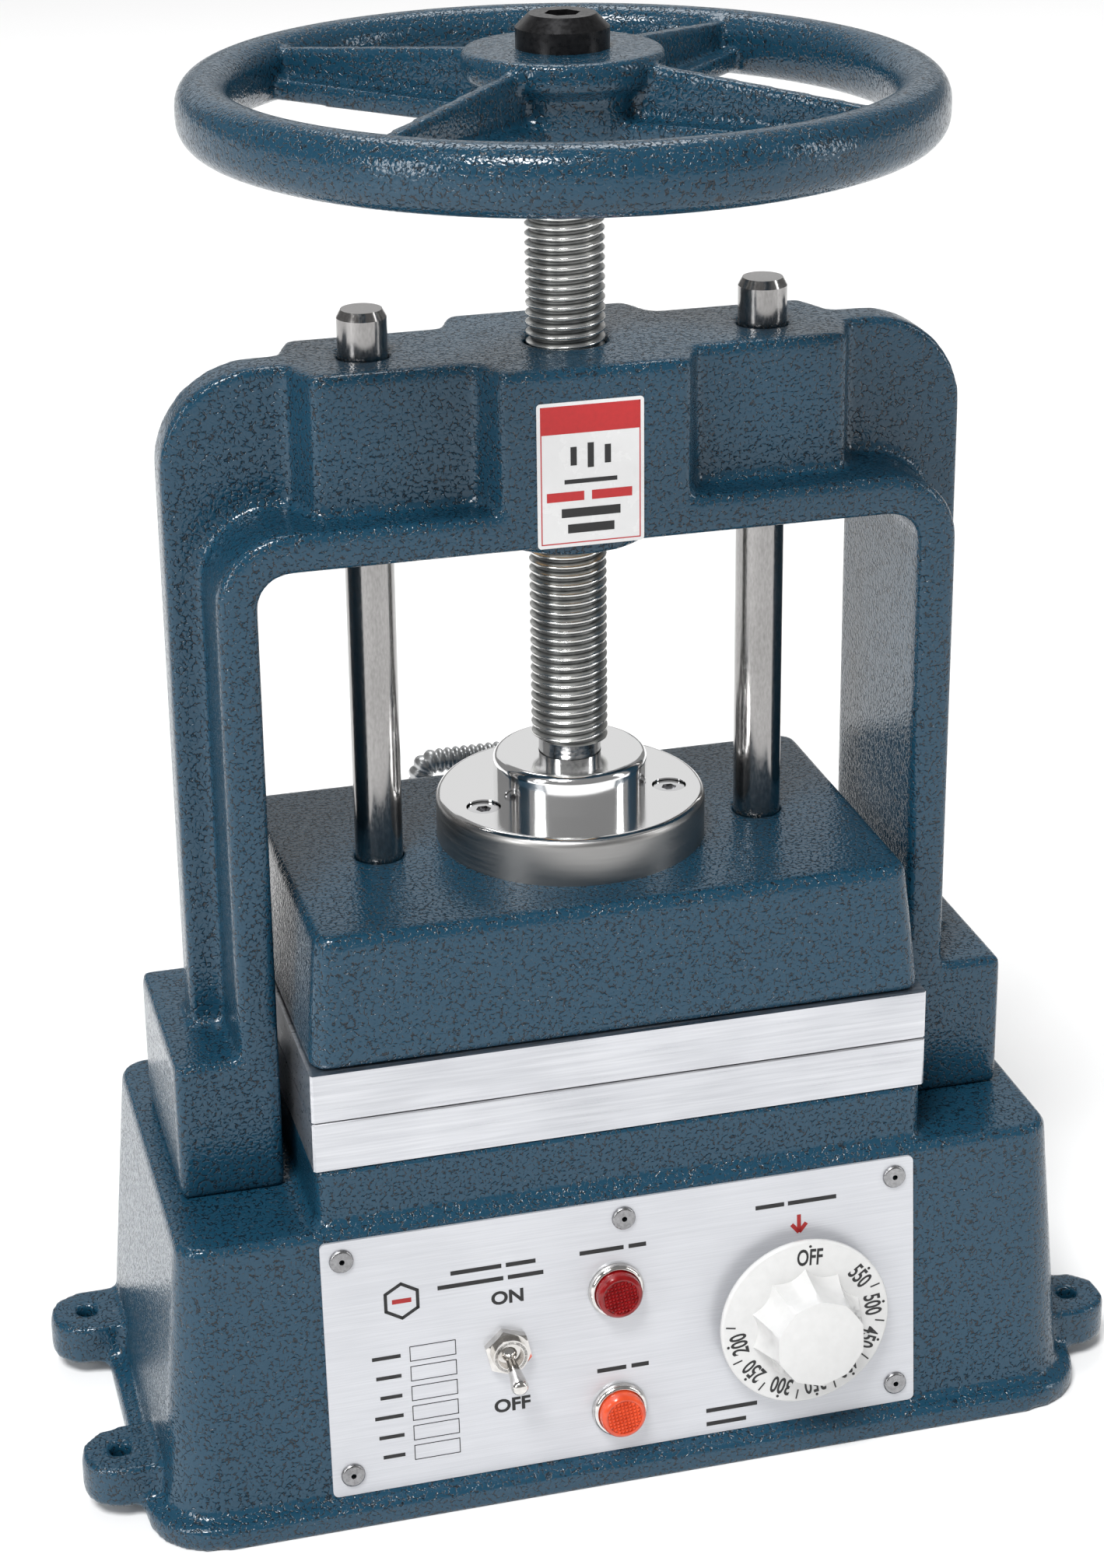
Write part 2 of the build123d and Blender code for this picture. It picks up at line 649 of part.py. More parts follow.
for lamp, v in lamp_vs.items():
    with BuildPart() as lamp_body:
        with BuildSketch(panel.offset(-30)):
            with Locations((lamp_x, v)):
                Circle(lamp_body_radius)
        extrude(amount=30 + plate_thickness)
        with BuildSketch(panel.offset(-36)):
            with Locations((lamp_x - 3, v), (lamp_x + 3, v)):
                Circle(0.6)
        extrude(amount=6)
    lamp_body.part.label = lamp + "_lamp_body"
    export_step(lamp_body.part, f"parts/{lamp}_lamp_body.step")

    with BuildPart() as lamp_bezel:
        with BuildSketch(panel.offset(plate_thickness)):
            with Locations((lamp_x, v)):
                Circle(bezel_radius)
        extrude(amount=3)
        front_edge = lamp_bezel.edges().group_by(Axis((0, base_front, 0), tuple(panel.z_dir)))[-1]
        chamfer(front_edge, 1.2)
        with BuildSketch(panel.offset(plate_thickness)):
            with Locations((lamp_x, v)):
                Circle(lens_radius + touch)
        extrude(amount=4, mode=Mode.SUBTRACT)
    lamp_bezel.part.label = lamp + "_lamp_bezel"
    export_step(lamp_bezel.part, f"parts/{lamp}_lamp_bezel.step")

    with BuildPart() as lamp_lens:
        with BuildSketch(panel.offset(plate_thickness)):
            with Locations((lamp_x, v)):
                Circle(lens_radius)
        extrude(amount=7)
        front_edge = lamp_lens.edges().group_by(Axis((0, base_front, 0), tuple(panel.z_dir)))[-1]
        fillet(front_edge, 0.8)
    lamp_lens.part.label = lamp + "_lamp_lens"
    export_step(lamp_lens.part, f"parts/{lamp}_lamp_lens.step")

with BuildPart() as lamp_clips:
    with BuildSketch(panel.offset(-0.8)):
        with Locations(*[(lamp_x, v) for v in lamp_vs.values()]):
            Rectangle(20, 16)
            Circle(lamp_body_radius + touch, mode=Mode.SUBTRACT)
    extrude(amount=0.8)
lamp_clips.part.label = "lamp_clips"
export_step(lamp_clips.part, "parts/lamp_clips.step")

with BuildPart() as thermostat_body:
    with BuildSketch(panel.offset(-28)):
        with Locations((dial_x, dial_v)):
            RectangleRounded(40, 36, 3)
    extrude(amount=28)
    with BuildSketch(panel.offset(-14)):
        with Locations((dial_x, dial_v)):
            Circle(shaft_radius + running)
    extrude(amount=14, mode=Mode.SUBTRACT)
    with BuildSketch(panel.offset(-8)):
        with Locations((dial_x - 13, dial_v), (dial_x + 13, dial_v)):
            Circle(1.6)
    extrude(amount=8, mode=Mode.SUBTRACT)
    with BuildSketch(panel.offset(-34)):
        with Locations((dial_x - 10, dial_v - 10), (dial_x + 10, dial_v - 10)):
            Rectangle(6, 1)
    extrude(amount=6)
thermostat_body.part.label = "thermostat_body"
export_step(thermostat_body.part, "parts/thermostat_body.step")

with BuildPart() as thermostat_screws:
    with BuildSketch(panel.offset(plate_thickness)):
        with Locations((dial_x - 13, dial_v), (dial_x + 13, dial_v)):
            Circle(3.2)
            Rectangle(5, 0.9, mode=Mode.SUBTRACT)
    extrude(amount=1.8)
    with BuildSketch(panel.offset(-7)):
        with Locations((dial_x - 13, dial_v), (dial_x + 13, dial_v)):
            Circle(1.6 - running)
    extrude(amount=7 + plate_thickness + 0.6)
thermostat_screws.part.label = "thermostat_screws"
export_step(thermostat_screws.part, "parts/thermostat_screws.step")

with BuildPart() as thermostat_shaft:
    with BuildSketch(panel.offset(-13)):
        with Locations((dial_x, dial_v)):
            Circle(shaft_radius)
    extrude(amount=13 + 19)
    with BuildSketch(panel.offset(dial_skirt_back - 1)):
        with Locations((dial_x, dial_v + shaft_radius)):
            Rectangle(2 * shaft_radius, 1.6)
    extrude(amount=16, mode=Mode.SUBTRACT)
thermostat_shaft.part.label = "thermostat_shaft"
export_step(thermostat_shaft.part, "parts/thermostat_shaft.step")

with BuildPart() as heat_dial:
    with BuildSketch(panel.offset(dial_skirt_back)):
        with Locations((dial_x, dial_v)):
            Circle(dial_radius)
    extrude(amount=dial_skirt_front - dial_skirt_back)
    with BuildSketch(panel.offset(dial_skirt_front)):
        with Locations((dial_x, dial_v)):
            Circle(dial_grip_foot)
    with BuildSketch(panel.offset(dial_front)):
        with Locations((dial_x, dial_v)):
            Circle(dial_grip_face)
    loft()
    front_edge = heat_dial.edges().group_by(Axis((0, base_front, 0), tuple(panel.z_dir)))[-1]
    fillet(front_edge, 1.2)
    with BuildSketch(panel.offset(dial_skirt_back)):
        with Locations((dial_x, dial_v)):
            Circle(shaft_radius + running)
        with Locations((dial_x, dial_v + shaft_radius)):
            Rectangle(2 * shaft_radius + 1, 1.4, mode=Mode.SUBTRACT)
    extrude(amount=14, mode=Mode.SUBTRACT)
heat_dial.part.label = "heat_dial"
export_step(heat_dial.part, "parts/heat_dial.step")

with BuildPart() as terminal_block:
    with BuildSketch(Plane.XY.offset(base_height - base_roof - 14)):
        with Locations((-60, 20)):
            Rectangle(50, 18)
    extrude(amount=14)
    with BuildSketch(Plane.XY.offset(base_height - base_roof - 14)):
        with Locations(*[(-60 + x, 20 + y) for x in (-18, -6, 6, 18) for y in (-4.5, 4.5)]):
            Circle(2)
    extrude(amount=5, mode=Mode.SUBTRACT)
terminal_block.part.label = "terminal_block"
export_step(terminal_block.part, "parts/terminal_block.step")

with BuildPart() as cord_gland:
    with BuildSketch(Plane.XZ.offset(-base_back - 4)):
        with Locations((gland_x, gland_z)):
            Circle(6.8)
    extrude(amount=16)
    with BuildSketch(Plane.XZ.offset(-base_back - 9)):
        with Locations((gland_x, gland_z)):
            Circle(10)
    extrude(amount=10.6)
    with BuildSketch(Plane.XZ.offset(-base_back - 10)):
        with Locations((gland_x, gland_z)):
            Circle(cord_hole)
    extrude(amount=24, mode=Mode.SUBTRACT)
cord_gland.part.label = "cord_gland"
export_step(cord_gland.part, "parts/cord_gland.step")

# ================================================================== carriage
with BuildPart() as upper_block:
    with BuildSketch(Plane.XY.offset(block_bottom)):
        RectangleRounded(2 * block_foot_half_x, 2 * block_foot_half_y, block_corner)
    with BuildSketch(Plane.XY.offset(block_top)):
        RectangleRounded(2 * block_top_half_x, 2 * block_top_half_y, block_corner)
    loft()
    fillet(upper_block.edges().group_by(Axis.Z)[-1], 3.0)
    with BuildSketch(Plane.XY.offset(block_bottom)):
        RectangleRounded(2 * block_cavity_half_x, 2 * block_cavity_half_y, block_corner)
    extrude(amount=block_cavity_depth, mode=Mode.SUBTRACT)
    with BuildSketch(Plane.XY.offset(thrust_bottom)):
        Circle(foot_disc_radius + 1)
    extrude(amount=block_top - thrust_bottom, mode=Mode.SUBTRACT)
    with BuildSketch(Plane.XY.offset(block_top - rod_seat)):
        with Locations((-rod_x, 0), (rod_x, 0)):
            Circle(rod_radius + touch)
    extrude(amount=rod_seat, mode=Mode.SUBTRACT)
    with BuildSketch(Plane.XY.offset(block_bottom)):
        with Locations((-rod_x, 0), (rod_x, 0)):
            Circle(3 + loose)
    extrude(amount=block_height - rod_seat, mode=Mode.SUBTRACT)
    with BuildSketch(Plane.XY.offset(block_top - 16)):
        for angle in collar_screw_angles:
            with Locations((collar_screw_ring * cos(radians(angle)), collar_screw_ring * sin(radians(angle)))):
                Circle(3)
    extrude(amount=16, mode=Mode.SUBTRACT)
    with BuildSketch(Plane.XY.offset(block_bottom)):
        with Locations(*upper_screw_points):
            Circle(2.5)
    extrude(amount=15, mode=Mode.SUBTRACT)
    with BuildSketch(Plane.XZ.offset(-block_foot_half_y - 1)):
        with Locations((conduit_x, conduit_high_z)):
            Circle(conduit_bore + 1)
    extrude(amount=30, mode=Mode.SUBTRACT)
    with BuildSketch(Plane.XY.offset(block_bottom)):
        with Locations((conduit_x, 39)):
            Circle(conduit_bore)
    extrude(amount=conduit_high_z - block_bottom, mode=Mode.SUBTRACT)
upper_block.part.label = "upper_block"
export_step(upper_block.part, "parts/upper_block.step")

with BuildPart() as upper_platen:
    with BuildSketch(Plane.XY.offset(upper_platen_bottom)):
        Rectangle(2 * platen_half_x, 2 * platen_half_y)
    extrude(amount=platen_thickness)
    chamfer(upper_platen.edges().filter_by(Axis.Z), 0.8)
    chamfer(upper_platen.faces().sort_by(Axis.Z)[0].edges(), 0.4)
    with BuildSketch(Plane.XY.offset(block_bottom - heater_pocket)):
        Rectangle(2 * heater_half_x + 2, 2 * heater_half_y + 2)
    extrude(amount=heater_pocket, mode=Mode.SUBTRACT)
    with BuildSketch(Plane.XY.offset(upper_platen_bottom)):
        with Locations(*upper_screw_points):
            Circle(2.5 + loose)
    extrude(amount=platen_thickness, mode=Mode.SUBTRACT)
    with BuildSketch(Plane.XY.offset(upper_platen_bottom)):
        with Locations(*upper_screw_points):
            Circle(5.2)
    extrude(amount=5.4, mode=Mode.SUBTRACT)
upper_platen.part.label = "upper_platen"
export_step(upper_platen.part, "parts/upper_platen.step")

with BuildPart() as upper_heater:
    with BuildSketch(Plane.XY.offset(block_bottom - board_thickness - touch - heater_thickness)):
        Rectangle(2 * heater_half_x, 2 * heater_half_y)
    extrude(amount=heater_thickness)
    with BuildSketch(Plane.XY.offset(block_bottom - board_thickness - touch)):
        with Locations(*terminal_points):
            Circle(2)
    extrude(amount=board_thickness + 9)
upper_heater.part.label = "upper_heater"
export_step(upper_heater.part, "parts/upper_heater.step")

with BuildPart() as upper_board:
    with BuildSketch(Plane.XY.offset(block_bottom - board_thickness)):
        Rectangle(2 * heater_half_x + 1, 2 * heater_half_y + 1)
        with Locations(*terminal_points):
            Circle(2.5, mode=Mode.SUBTRACT)
    extrude(amount=board_thickness)
upper_board.part.label = "upper_board"
export_step(upper_board.part, "parts/upper_board.step")

with BuildPart() as upper_platen_screws:
    with BuildSketch(Plane.XY.offset(upper_platen_bottom + 0.4)):
        with Locations(*upper_screw_points):
            Circle(4.4)
            RegularPolygon(2.3, 6, mode=Mode.SUBTRACT)
    extrude(amount=2.6)
    with BuildSketch(Plane.XY.offset(upper_platen_bottom + 3)):
        with Locations(*upper_screw_points):
            Circle(4.4)
    extrude(amount=2.4)
    with BuildSketch(Plane.XY.offset(upper_platen_bottom + 5.4)):
        with Locations(*upper_screw_points):
            Circle(2.5 - running)
    extrude(amount=platen_thickness - 5.4 + 13)
upper_platen_screws.part.label = "upper_platen_screws"
export_step(upper_platen_screws.part, "parts/upper_platen_screws.step")

for side, x in (("left", -rod_x), ("right", rod_x)):
    with BuildPart() as guide_rod:
        with BuildSketch(Plane.XY.offset(block_top - rod_seat)):
            with Locations((x, 0)):
                Circle(rod_radius)
        extrude(amount=rod_top - block_top + rod_seat)
        chamfer(guide_rod.edges().group_by(Axis.Z)[-1], 2.6, 1.4)
        with BuildSketch(Plane.XY.offset(block_top - rod_seat)):
            with Locations((x, 0)):
                Circle(3)
        extrude(amount=18, mode=Mode.SUBTRACT)
    guide_rod.part.label = "guide_rod_" + side
    export_step(guide_rod.part, f"parts/guide_rod_{side}.step")

with BuildPart() as guide_rod_screws:
    with BuildSketch(Plane.XY.offset(block_bottom + block_cavity_depth - 5)):
        with Locations((-rod_x, 0), (rod_x, 0)):
            Circle(5)
            RegularPolygon(2.8, 6, mode=Mode.SUBTRACT)
    extrude(amount=3)
    with BuildSketch(Plane.XY.offset(block_bottom + block_cavity_depth - 2)):
        with Locations((-rod_x, 0), (rod_x, 0)):
            Circle(5)
    extrude(amount=2)
    with BuildSketch(Plane.XY.offset(block_bottom + block_cavity_depth)):
        with Locations((-rod_x, 0), (rod_x, 0)):
            Circle(3 - running)
    extrude(amount=block_height - block_cavity_depth - rod_seat + 16)
guide_rod_screws.part.label = "guide_rod_screws"
export_step(guide_rod_screws.part, "parts/guide_rod_screws.step")

with BuildPart() as swivel_collar:
    with BuildSketch(Plane.XY.offset(block_top)):
        Circle(collar_radius)
    extrude(amount=collar_thickness)
    with BuildSketch(Plane.XY.offset(collar_top)):
        Circle(collar_hub_radius)
    extrude(amount=collar_hub_height)
    fillet(swivel_collar.edges().group_by(Axis.Z)[-1], collar_edge)
    shoulder = swivel_collar.edges().filter_by_position(Axis.Z, collar_top - 0.1, collar_top + 0.1)
    fillet(shoulder.sort_by(SortBy.RADIUS)[-1], collar_edge)
    with BuildSketch(Plane.XY.offset(block_top)):
        Circle(neck_radius + 0.1)
        for angle in collar_screw_angles:
            with Locations((collar_screw_ring * cos(radians(angle)), collar_screw_ring * sin(radians(angle)))):
                Circle(3 + loose)
    extrude(amount=collar_thickness + collar_hub_height, mode=Mode.SUBTRACT)
    with BuildSketch(Plane.XY.offset(collar_top - collar_recess)):
        for angle in collar_screw_angles:
            with Locations((collar_screw_ring * cos(radians(angle)), collar_screw_ring * sin(radians(angle)))):
                Circle(5.7)
    extrude(amount=collar_recess, mode=Mode.SUBTRACT)
swivel_collar.part.label = "swivel_collar"
export_step(swivel_collar.part, "parts/swivel_collar.step")

with BuildPart() as collar_screws:
    for angle in collar_screw_angles:
        x = collar_screw_ring * cos(radians(angle))
        y = collar_screw_ring * sin(radians(angle))
        with BuildSketch(Plane.XY.offset(collar_top - collar_recess)):
            with Locations((x, y)):
                Circle(5.2)
        extrude(amount=collar_recess - 0.8)
        with BuildSketch(Plane.XY.offset(block_top - 14)):
            with Locations((x, y)):
                Circle(3 - running)
        extrude(amount=collar_thickness + 6)
        with BuildSketch(Plane.XY.offset(collar_top - 4)):
            with Locations((x, y)):
                RegularPolygon(2.6, 6)
        extrude(amount=4, mode=Mode.SUBTRACT)
collar_screws.part.label = "collar_screws"
export_step(collar_screws.part, "parts/collar_screws.step")

with BuildPart() as thrust_washer:
    with BuildSketch(Plane.XY.offset(thrust_bottom)):
        Circle(foot_disc_radius)
        Circle(spigot_radius, mode=Mode.SUBTRACT)
    extrude(amount=thrust_thickness)
thrust_washer.part.label = "thrust_washer"
export_step(thrust_washer.part, "parts/thrust_washer.step")

with BuildPart() as conduit:
    with BuildLine() as conduit_path:
        FilletPolyline((conduit_drop_x, base_back + 2, conduit_low_z),
                       (conduit_drop_x, conduit_y, conduit_low_z),
                       (conduit_drop_x, conduit_y, conduit_high_z),
                       (conduit_x, conduit_y, conduit_high_z),
                       (conduit_x, block_top_half_y + 12, conduit_high_z), radius=conduit_bend)
    with BuildSketch(Plane((conduit_drop_x, base_back + 2, conduit_low_z), z_dir=(0, 1, 0))):
        Circle(conduit_radius)
        Circle(conduit_bore, mode=Mode.SUBTRACT)
    sweep(path=conduit_path.line)
conduit.part.label = "conduit"
export_step(conduit.part, "parts/conduit.step")

with BuildPart() as conduit_base_fitting:
    with BuildSketch(Plane.XZ.offset(-base_back + 12)):
        with Locations((conduit_drop_x, conduit_low_z)):
            Circle(5.8)
    extrude(amount=-14)
    with BuildSketch(Plane.XZ.offset(-base_back + 4.4)):
        with Locations((conduit_drop_x, conduit_low_z)):
            RegularPolygon(9, 6)
    extrude(amount=-6.4)
    with BuildSketch(Plane.XZ.offset(-base_back + 13)):
        with Locations((conduit_drop_x, conduit_low_z)):
            Circle(conduit_bore)
    extrude(amount=-16, mode=Mode.SUBTRACT)
conduit_base_fitting.part.label = "conduit_base_fitting"
export_step(conduit_base_fitting.part, "parts/conduit_base_fitting.step")

with BuildPart() as conduit_block_fitting:
    with BuildSketch(Plane.XZ.offset(-block_foot_half_y + 8)):
        with Locations((conduit_x, conduit_high_z)):
            Circle(conduit_bore + 1 - running)
            Circle(conduit_bore - 0.6, mode=Mode.SUBTRACT)
    extrude(amount=-14)
    with BuildSketch(Plane.XZ.offset(-block_foot_half_y)):
        with Locations((conduit_x, conduit_high_z)):
            RegularPolygon(8, 6)
            Circle(conduit_bore - 0.6, mode=Mode.SUBTRACT)
    extrude(amount=-7.2)
conduit_block_fitting.part.label = "conduit_block_fitting"
export_step(conduit_block_fitting.part, "parts/conduit_block_fitting.step")

# ================================================================== screw and handwheel
thread_root = screw_radius - thread_depth
ridges = int((wheel_bottom - 2 - thread_start) / screw_pitch)
thread_top = thread_start + ridges * screw_pitch
profile = [(0, foot_disc_bottom + 0.4), (spigot_radius, foot_disc_bottom + 0.4)]
profile += [(spigot_radius, block_top - 2 * touch), (neck_radius, block_top - 2 * touch), (neck_radius, thread_start)]
for ridge in range(ridges):
    foot = thread_start + ridge * screw_pitch
    profile += [(thread_root, foot), (thread_root, foot + 0.4), (screw_radius, foot + 1.25)]
    profile += [(screw_radius, foot + 2.0), (thread_root, foot + 2.85)]
profile += [(thread_root, thread_top), (screw_radius, thread_top), (screw_radius, wheel_bottom - touch)]
profile += [(wheel_bore, wheel_bottom - touch), (wheel_bore, wheel_disc_top - 2), (0, wheel_disc_top - 2)]
with BuildPart() as press_screw:
    with BuildSketch(Plane.XZ):
        with BuildLine():
            Polyline(*profile, close=True)
        make_face()
    revolve(axis=Axis.Z)
    with BuildSketch(Plane.XY.offset(wheel_disc_top - 26)):
        Circle(cap_shank + touch)
    extrude(amount=26, mode=Mode.SUBTRACT)
    with BuildSketch(Plane.XY.offset(wheel_bottom + 5)):
        with Locations((0, wheel_bore)):
            Rectangle(5, 5)
    extrude(amount=wheel_disc_top - wheel_bottom, mode=Mode.SUBTRACT)
    with BuildSketch(Plane.XZ.offset(-foot_disc_radius)):
        with Locations((0, foot_disc_bottom + 5.5)):
            Circle(1.5)
    extrude(amount=2 * foot_disc_radius, mode=Mode.SUBTRACT)
press_screw.part.label = "press_screw"
export_step(press_screw.part, "parts/press_screw.step")

with BuildPart() as screw_foot:
    with BuildSketch(Plane.XY.offset(foot_disc_bottom)):
        Circle(foot_disc_radius)
        Circle(spigot_radius + touch, mode=Mode.SUBTRACT)
    extrude(amount=foot_disc_height)
    with BuildSketch(Plane.XZ.offset(-foot_disc_radius)):
        with Locations((0, foot_disc_bottom + 5.5)):
            Circle(1.5)
    extrude(amount=2 * foot_disc_radius, mode=Mode.SUBTRACT)
screw_foot.part.label = "screw_foot"
export_step(screw_foot.part, "parts/screw_foot.step")

with BuildPart() as foot_pin:
    with BuildSketch(Plane.XZ.offset(-foot_disc_radius + 1)):
        with Locations((0, foot_disc_bottom + 5.5)):
            Circle(1.5 - running / 2)
    extrude(amount=2 * foot_disc_radius - 2)
foot_pin.part.label = "foot_pin"
export_step(foot_pin.part, "parts/foot_pin.step")

with BuildPart() as handwheel:
    with BuildSketch(Plane.XZ):
        with Locations((wheel_radius, wheel_centre_z)):
            SlotOverall(2 * rim_half_height, 2 * rim_half_width, rotation=90)
    revolve(axis=Axis.Z)
    for quarter in range(4):
        outward = spoke_plane(spoke_angle + 90 * quarter)
        with BuildSketch(outward):
            with BuildLine():
                Polyline((20, wheel_bottom + 0.8), (wheel_radius - 3, wheel_bottom + 2.6),
                         (wheel_radius - 3, wheel_centre_z + 7.3), (wheel_disc_radius - 4, wheel_disc_top - 2.4),
                         (20, wheel_disc_top - 2.4), close=True)
            make_face()
        extrude(amount=spoke_web / 2, both=True)
        with BuildSketch(outward):
            with BuildLine():
                Polyline((20, wheel_bottom + 0.8), (wheel_radius - 3, wheel_bottom + 2.6),
                         (wheel_radius - 3, wheel_bottom + 2.6 + spoke_foot_height),
                         (20, wheel_bottom + 0.8 + spoke_foot_height), close=True)
            make_face()
        extrude(amount=spoke_foot_width / 2, both=True)
    with BuildSketch(Plane.XZ):
        with BuildLine():
            Polyline((0, wheel_bottom), (wheel_hub_radius, wheel_bottom), (wheel_hub_radius, wheel_disc_top - 12),
                     (wheel_disc_radius, wheel_disc_top - 8), (wheel_disc_radius, wheel_disc_top - 1.4),
                     (wheel_disc_radius - 1.4, wheel_disc_top), (0, wheel_disc_top), close=True)
        make_face()
    revolve(axis=Axis.Z)
    with BuildSketch(Plane.XY.offset(wheel_bottom - 1)):
        Circle(wheel_bore + touch)
        with Locations((0, wheel_bore)):
            Rectangle(5, 5 + 0.4)
    extrude(amount=wheel_disc_top - wheel_bottom + 2, mode=Mode.SUBTRACT)
handwheel.part.label = "handwheel"
export_step(handwheel.part, "parts/handwheel.step")

with BuildPart() as wheel_key:
    with BuildSketch(Plane.XY.offset(wheel_bottom + 5)):
        with Locations((0, wheel_bore)):
            Rectangle(5 - running, 5 - running)
    extrude(amount=wheel_disc_top - wheel_bottom - 8)
wheel_key.part.label = "wheel_key"
export_step(wheel_key.part, "parts/wheel_key.step")

with BuildPart() as wheel_screw:
    with BuildSketch(Plane.XY.offset(wheel_disc_top)):
        Circle(cap_radius)
    extrude(amount=cap_height)
    chamfer(wheel_screw.edges().group_by(Axis.Z)[-1], cap_chamfer)
    with BuildSketch(Plane.XY.offset(wheel_disc_top - 24)):
        Circle(cap_shank)
    extrude(amount=24)
    with BuildSketch(Plane.XY.offset(wheel_disc_top + cap_height - 7)):
        RegularPolygon(cap_socket / 2, 6, major_radius=False)
    extrude(amount=7, mode=Mode.SUBTRACT)
wheel_screw.part.label = "wheel_screw"
export_step(wheel_screw.part, "parts/wheel_screw.step")
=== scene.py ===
"""Looks of a bench-top heated platen press: hammertone castings, ground rods, a true screw thread,
a chromed swivel collar, milled platens and a control panel with a dial, a switch and two lamps.
"""

import logging
import math
from dataclasses import dataclass, field
from enum import Enum

import bmesh
import bpy
from mathutils import Matrix, Vector


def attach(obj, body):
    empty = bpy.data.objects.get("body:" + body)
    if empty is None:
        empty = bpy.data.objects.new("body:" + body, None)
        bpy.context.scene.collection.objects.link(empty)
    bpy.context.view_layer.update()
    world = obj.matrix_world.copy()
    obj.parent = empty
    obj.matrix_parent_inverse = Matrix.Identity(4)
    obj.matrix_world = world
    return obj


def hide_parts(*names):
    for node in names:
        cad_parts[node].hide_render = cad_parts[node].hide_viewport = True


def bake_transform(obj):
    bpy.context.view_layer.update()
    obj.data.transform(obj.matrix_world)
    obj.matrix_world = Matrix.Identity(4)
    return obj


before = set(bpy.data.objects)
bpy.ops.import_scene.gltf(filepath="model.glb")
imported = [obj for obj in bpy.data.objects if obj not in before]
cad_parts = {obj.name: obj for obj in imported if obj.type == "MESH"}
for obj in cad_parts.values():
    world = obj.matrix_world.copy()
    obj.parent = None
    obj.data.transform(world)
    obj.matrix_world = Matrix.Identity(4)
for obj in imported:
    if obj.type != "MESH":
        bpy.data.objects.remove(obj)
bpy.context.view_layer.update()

log = logging.getLogger("press")
MM = 0.001
PANEL_LEAN = math.radians(4.8)
PANEL_FOOT = -78.75
SCREW_AXIS = Vector((0.0, 0.0, 1.0))


class Body(Enum):
    """The rigid bodies that pieces ride on."""

    BASE = "base"
    CARRIAGE = "carriage"
    SCREW = "screw"
    DIAL = "dial"
    TOGGLE = "toggle"


# --------------------------------------------------------------------------- helpers
def panel_matrix(u: float, v: float, w: float) -> Matrix:
    """Places a piece on the sloping panel: its x across, its y up the slope, its z out of it.

    Args:
        u: Distance across from the screw axis, in mm.
        v: Distance up the slope, in mm.
        w: Distance off the panel's back face, in mm.

    Returns:
        The matrix from the piece's own metres to the row frame.
    """
    lean_cos, lean_sin = math.cos(PANEL_LEAN), math.sin(PANEL_LEAN)
    across = Vector((1.0, 0.0, 0.0))
    up = Vector((0.0, lean_sin, lean_cos))
    out = Vector((0.0, -lean_cos, lean_sin))
    place = Vector((0.0, PANEL_FOOT * MM, 0.0)) + (across * u + up * v + out * w) * MM
    rows = [(across[i], up[i], out[i], place[i]) for i in range(3)]
    return Matrix((*rows, (0.0, 0.0, 0.0, 1.0)))


def recalculated(bm: bmesh.types.BMesh, merge: float = 1e-6) -> None:
    """Merges doubles and points every face outwards.

    Args:
        bm: The mesh in work.
        merge: Merging distance, in metres.
    """
    bmesh.ops.remove_doubles(bm, verts=bm.verts, dist=merge)
    bmesh.ops.recalc_face_normals(bm, faces=bm.faces)


def lathed(bm: bmesh.types.BMesh, profile: list[tuple[float, float]], steps: int = 64,
           place: Matrix | None = None) -> None:
    """Adds a solid turned about the z axis, in mm.

    Args:
        bm: The mesh that takes the solid.
        profile: Radius and height pairs, from the axis round to the axis again, or a closed ring's section.
        steps: Steps round the full turn.
        place: Where the turned solid goes, in metres.
    """
    own = bmesh.new()
    verts = [own.verts.new((r * MM, 0.0, z * MM)) for r, z in profile]
    edges = [own.edges.new(pair) for pair in zip(verts, verts[1:])]
    if profile[0][0] > 1e-4:
        edges.append(own.edges.new((verts[-1], verts[0])))
    bmesh.ops.spin(own, geom=verts + edges, cent=(0, 0, 0), axis=SCREW_AXIS, dvec=(0, 0, 0),
                   angle=math.tau, steps=steps, use_merge=True, use_duplicate=False)
    recalculated(own)
    join(bm, own, place)


def join(bm: bmesh.types.BMesh, own: bmesh.types.BMesh, place: Matrix | None = None) -> None:
    """Moves one mesh into another and frees it.

    Args:
        bm: The mesh that grows.
        own: The mesh that is used up.
        place: Its place in the row frame, in metres.
    """
    if place is not None:
        bmesh.ops.transform(own, matrix=place, verts=own.verts)
    mesh = bpy.data.meshes.new("joining")
    own.to_mesh(mesh)
    own.free()
    bm.from_mesh(mesh)
    bpy.data.meshes.remove(mesh)


def softened(bm: bmesh.types.BMesh, width: float, segments: int = 2, above: float = 40.0) -> None:
    """Bevels every edge that is sharper than an angle.

    Args:
        bm: The mesh in work.
        width: Bevel offset, in mm.
        segments: Steps across the bevel.
        above: Only edges sharper than this many degrees are cut.
    """
    limit = math.radians(above)
    sharp = [e for e in bm.edges if len(e.link_faces) == 2 and e.calc_face_angle(0.0) > limit]
    bmesh.ops.bevel(bm, geom=sharp, offset=width * MM, offset_type="OFFSET", affect="EDGES",
                    segments=segments, profile=0.5, material=-1, clamp_overlap=True)


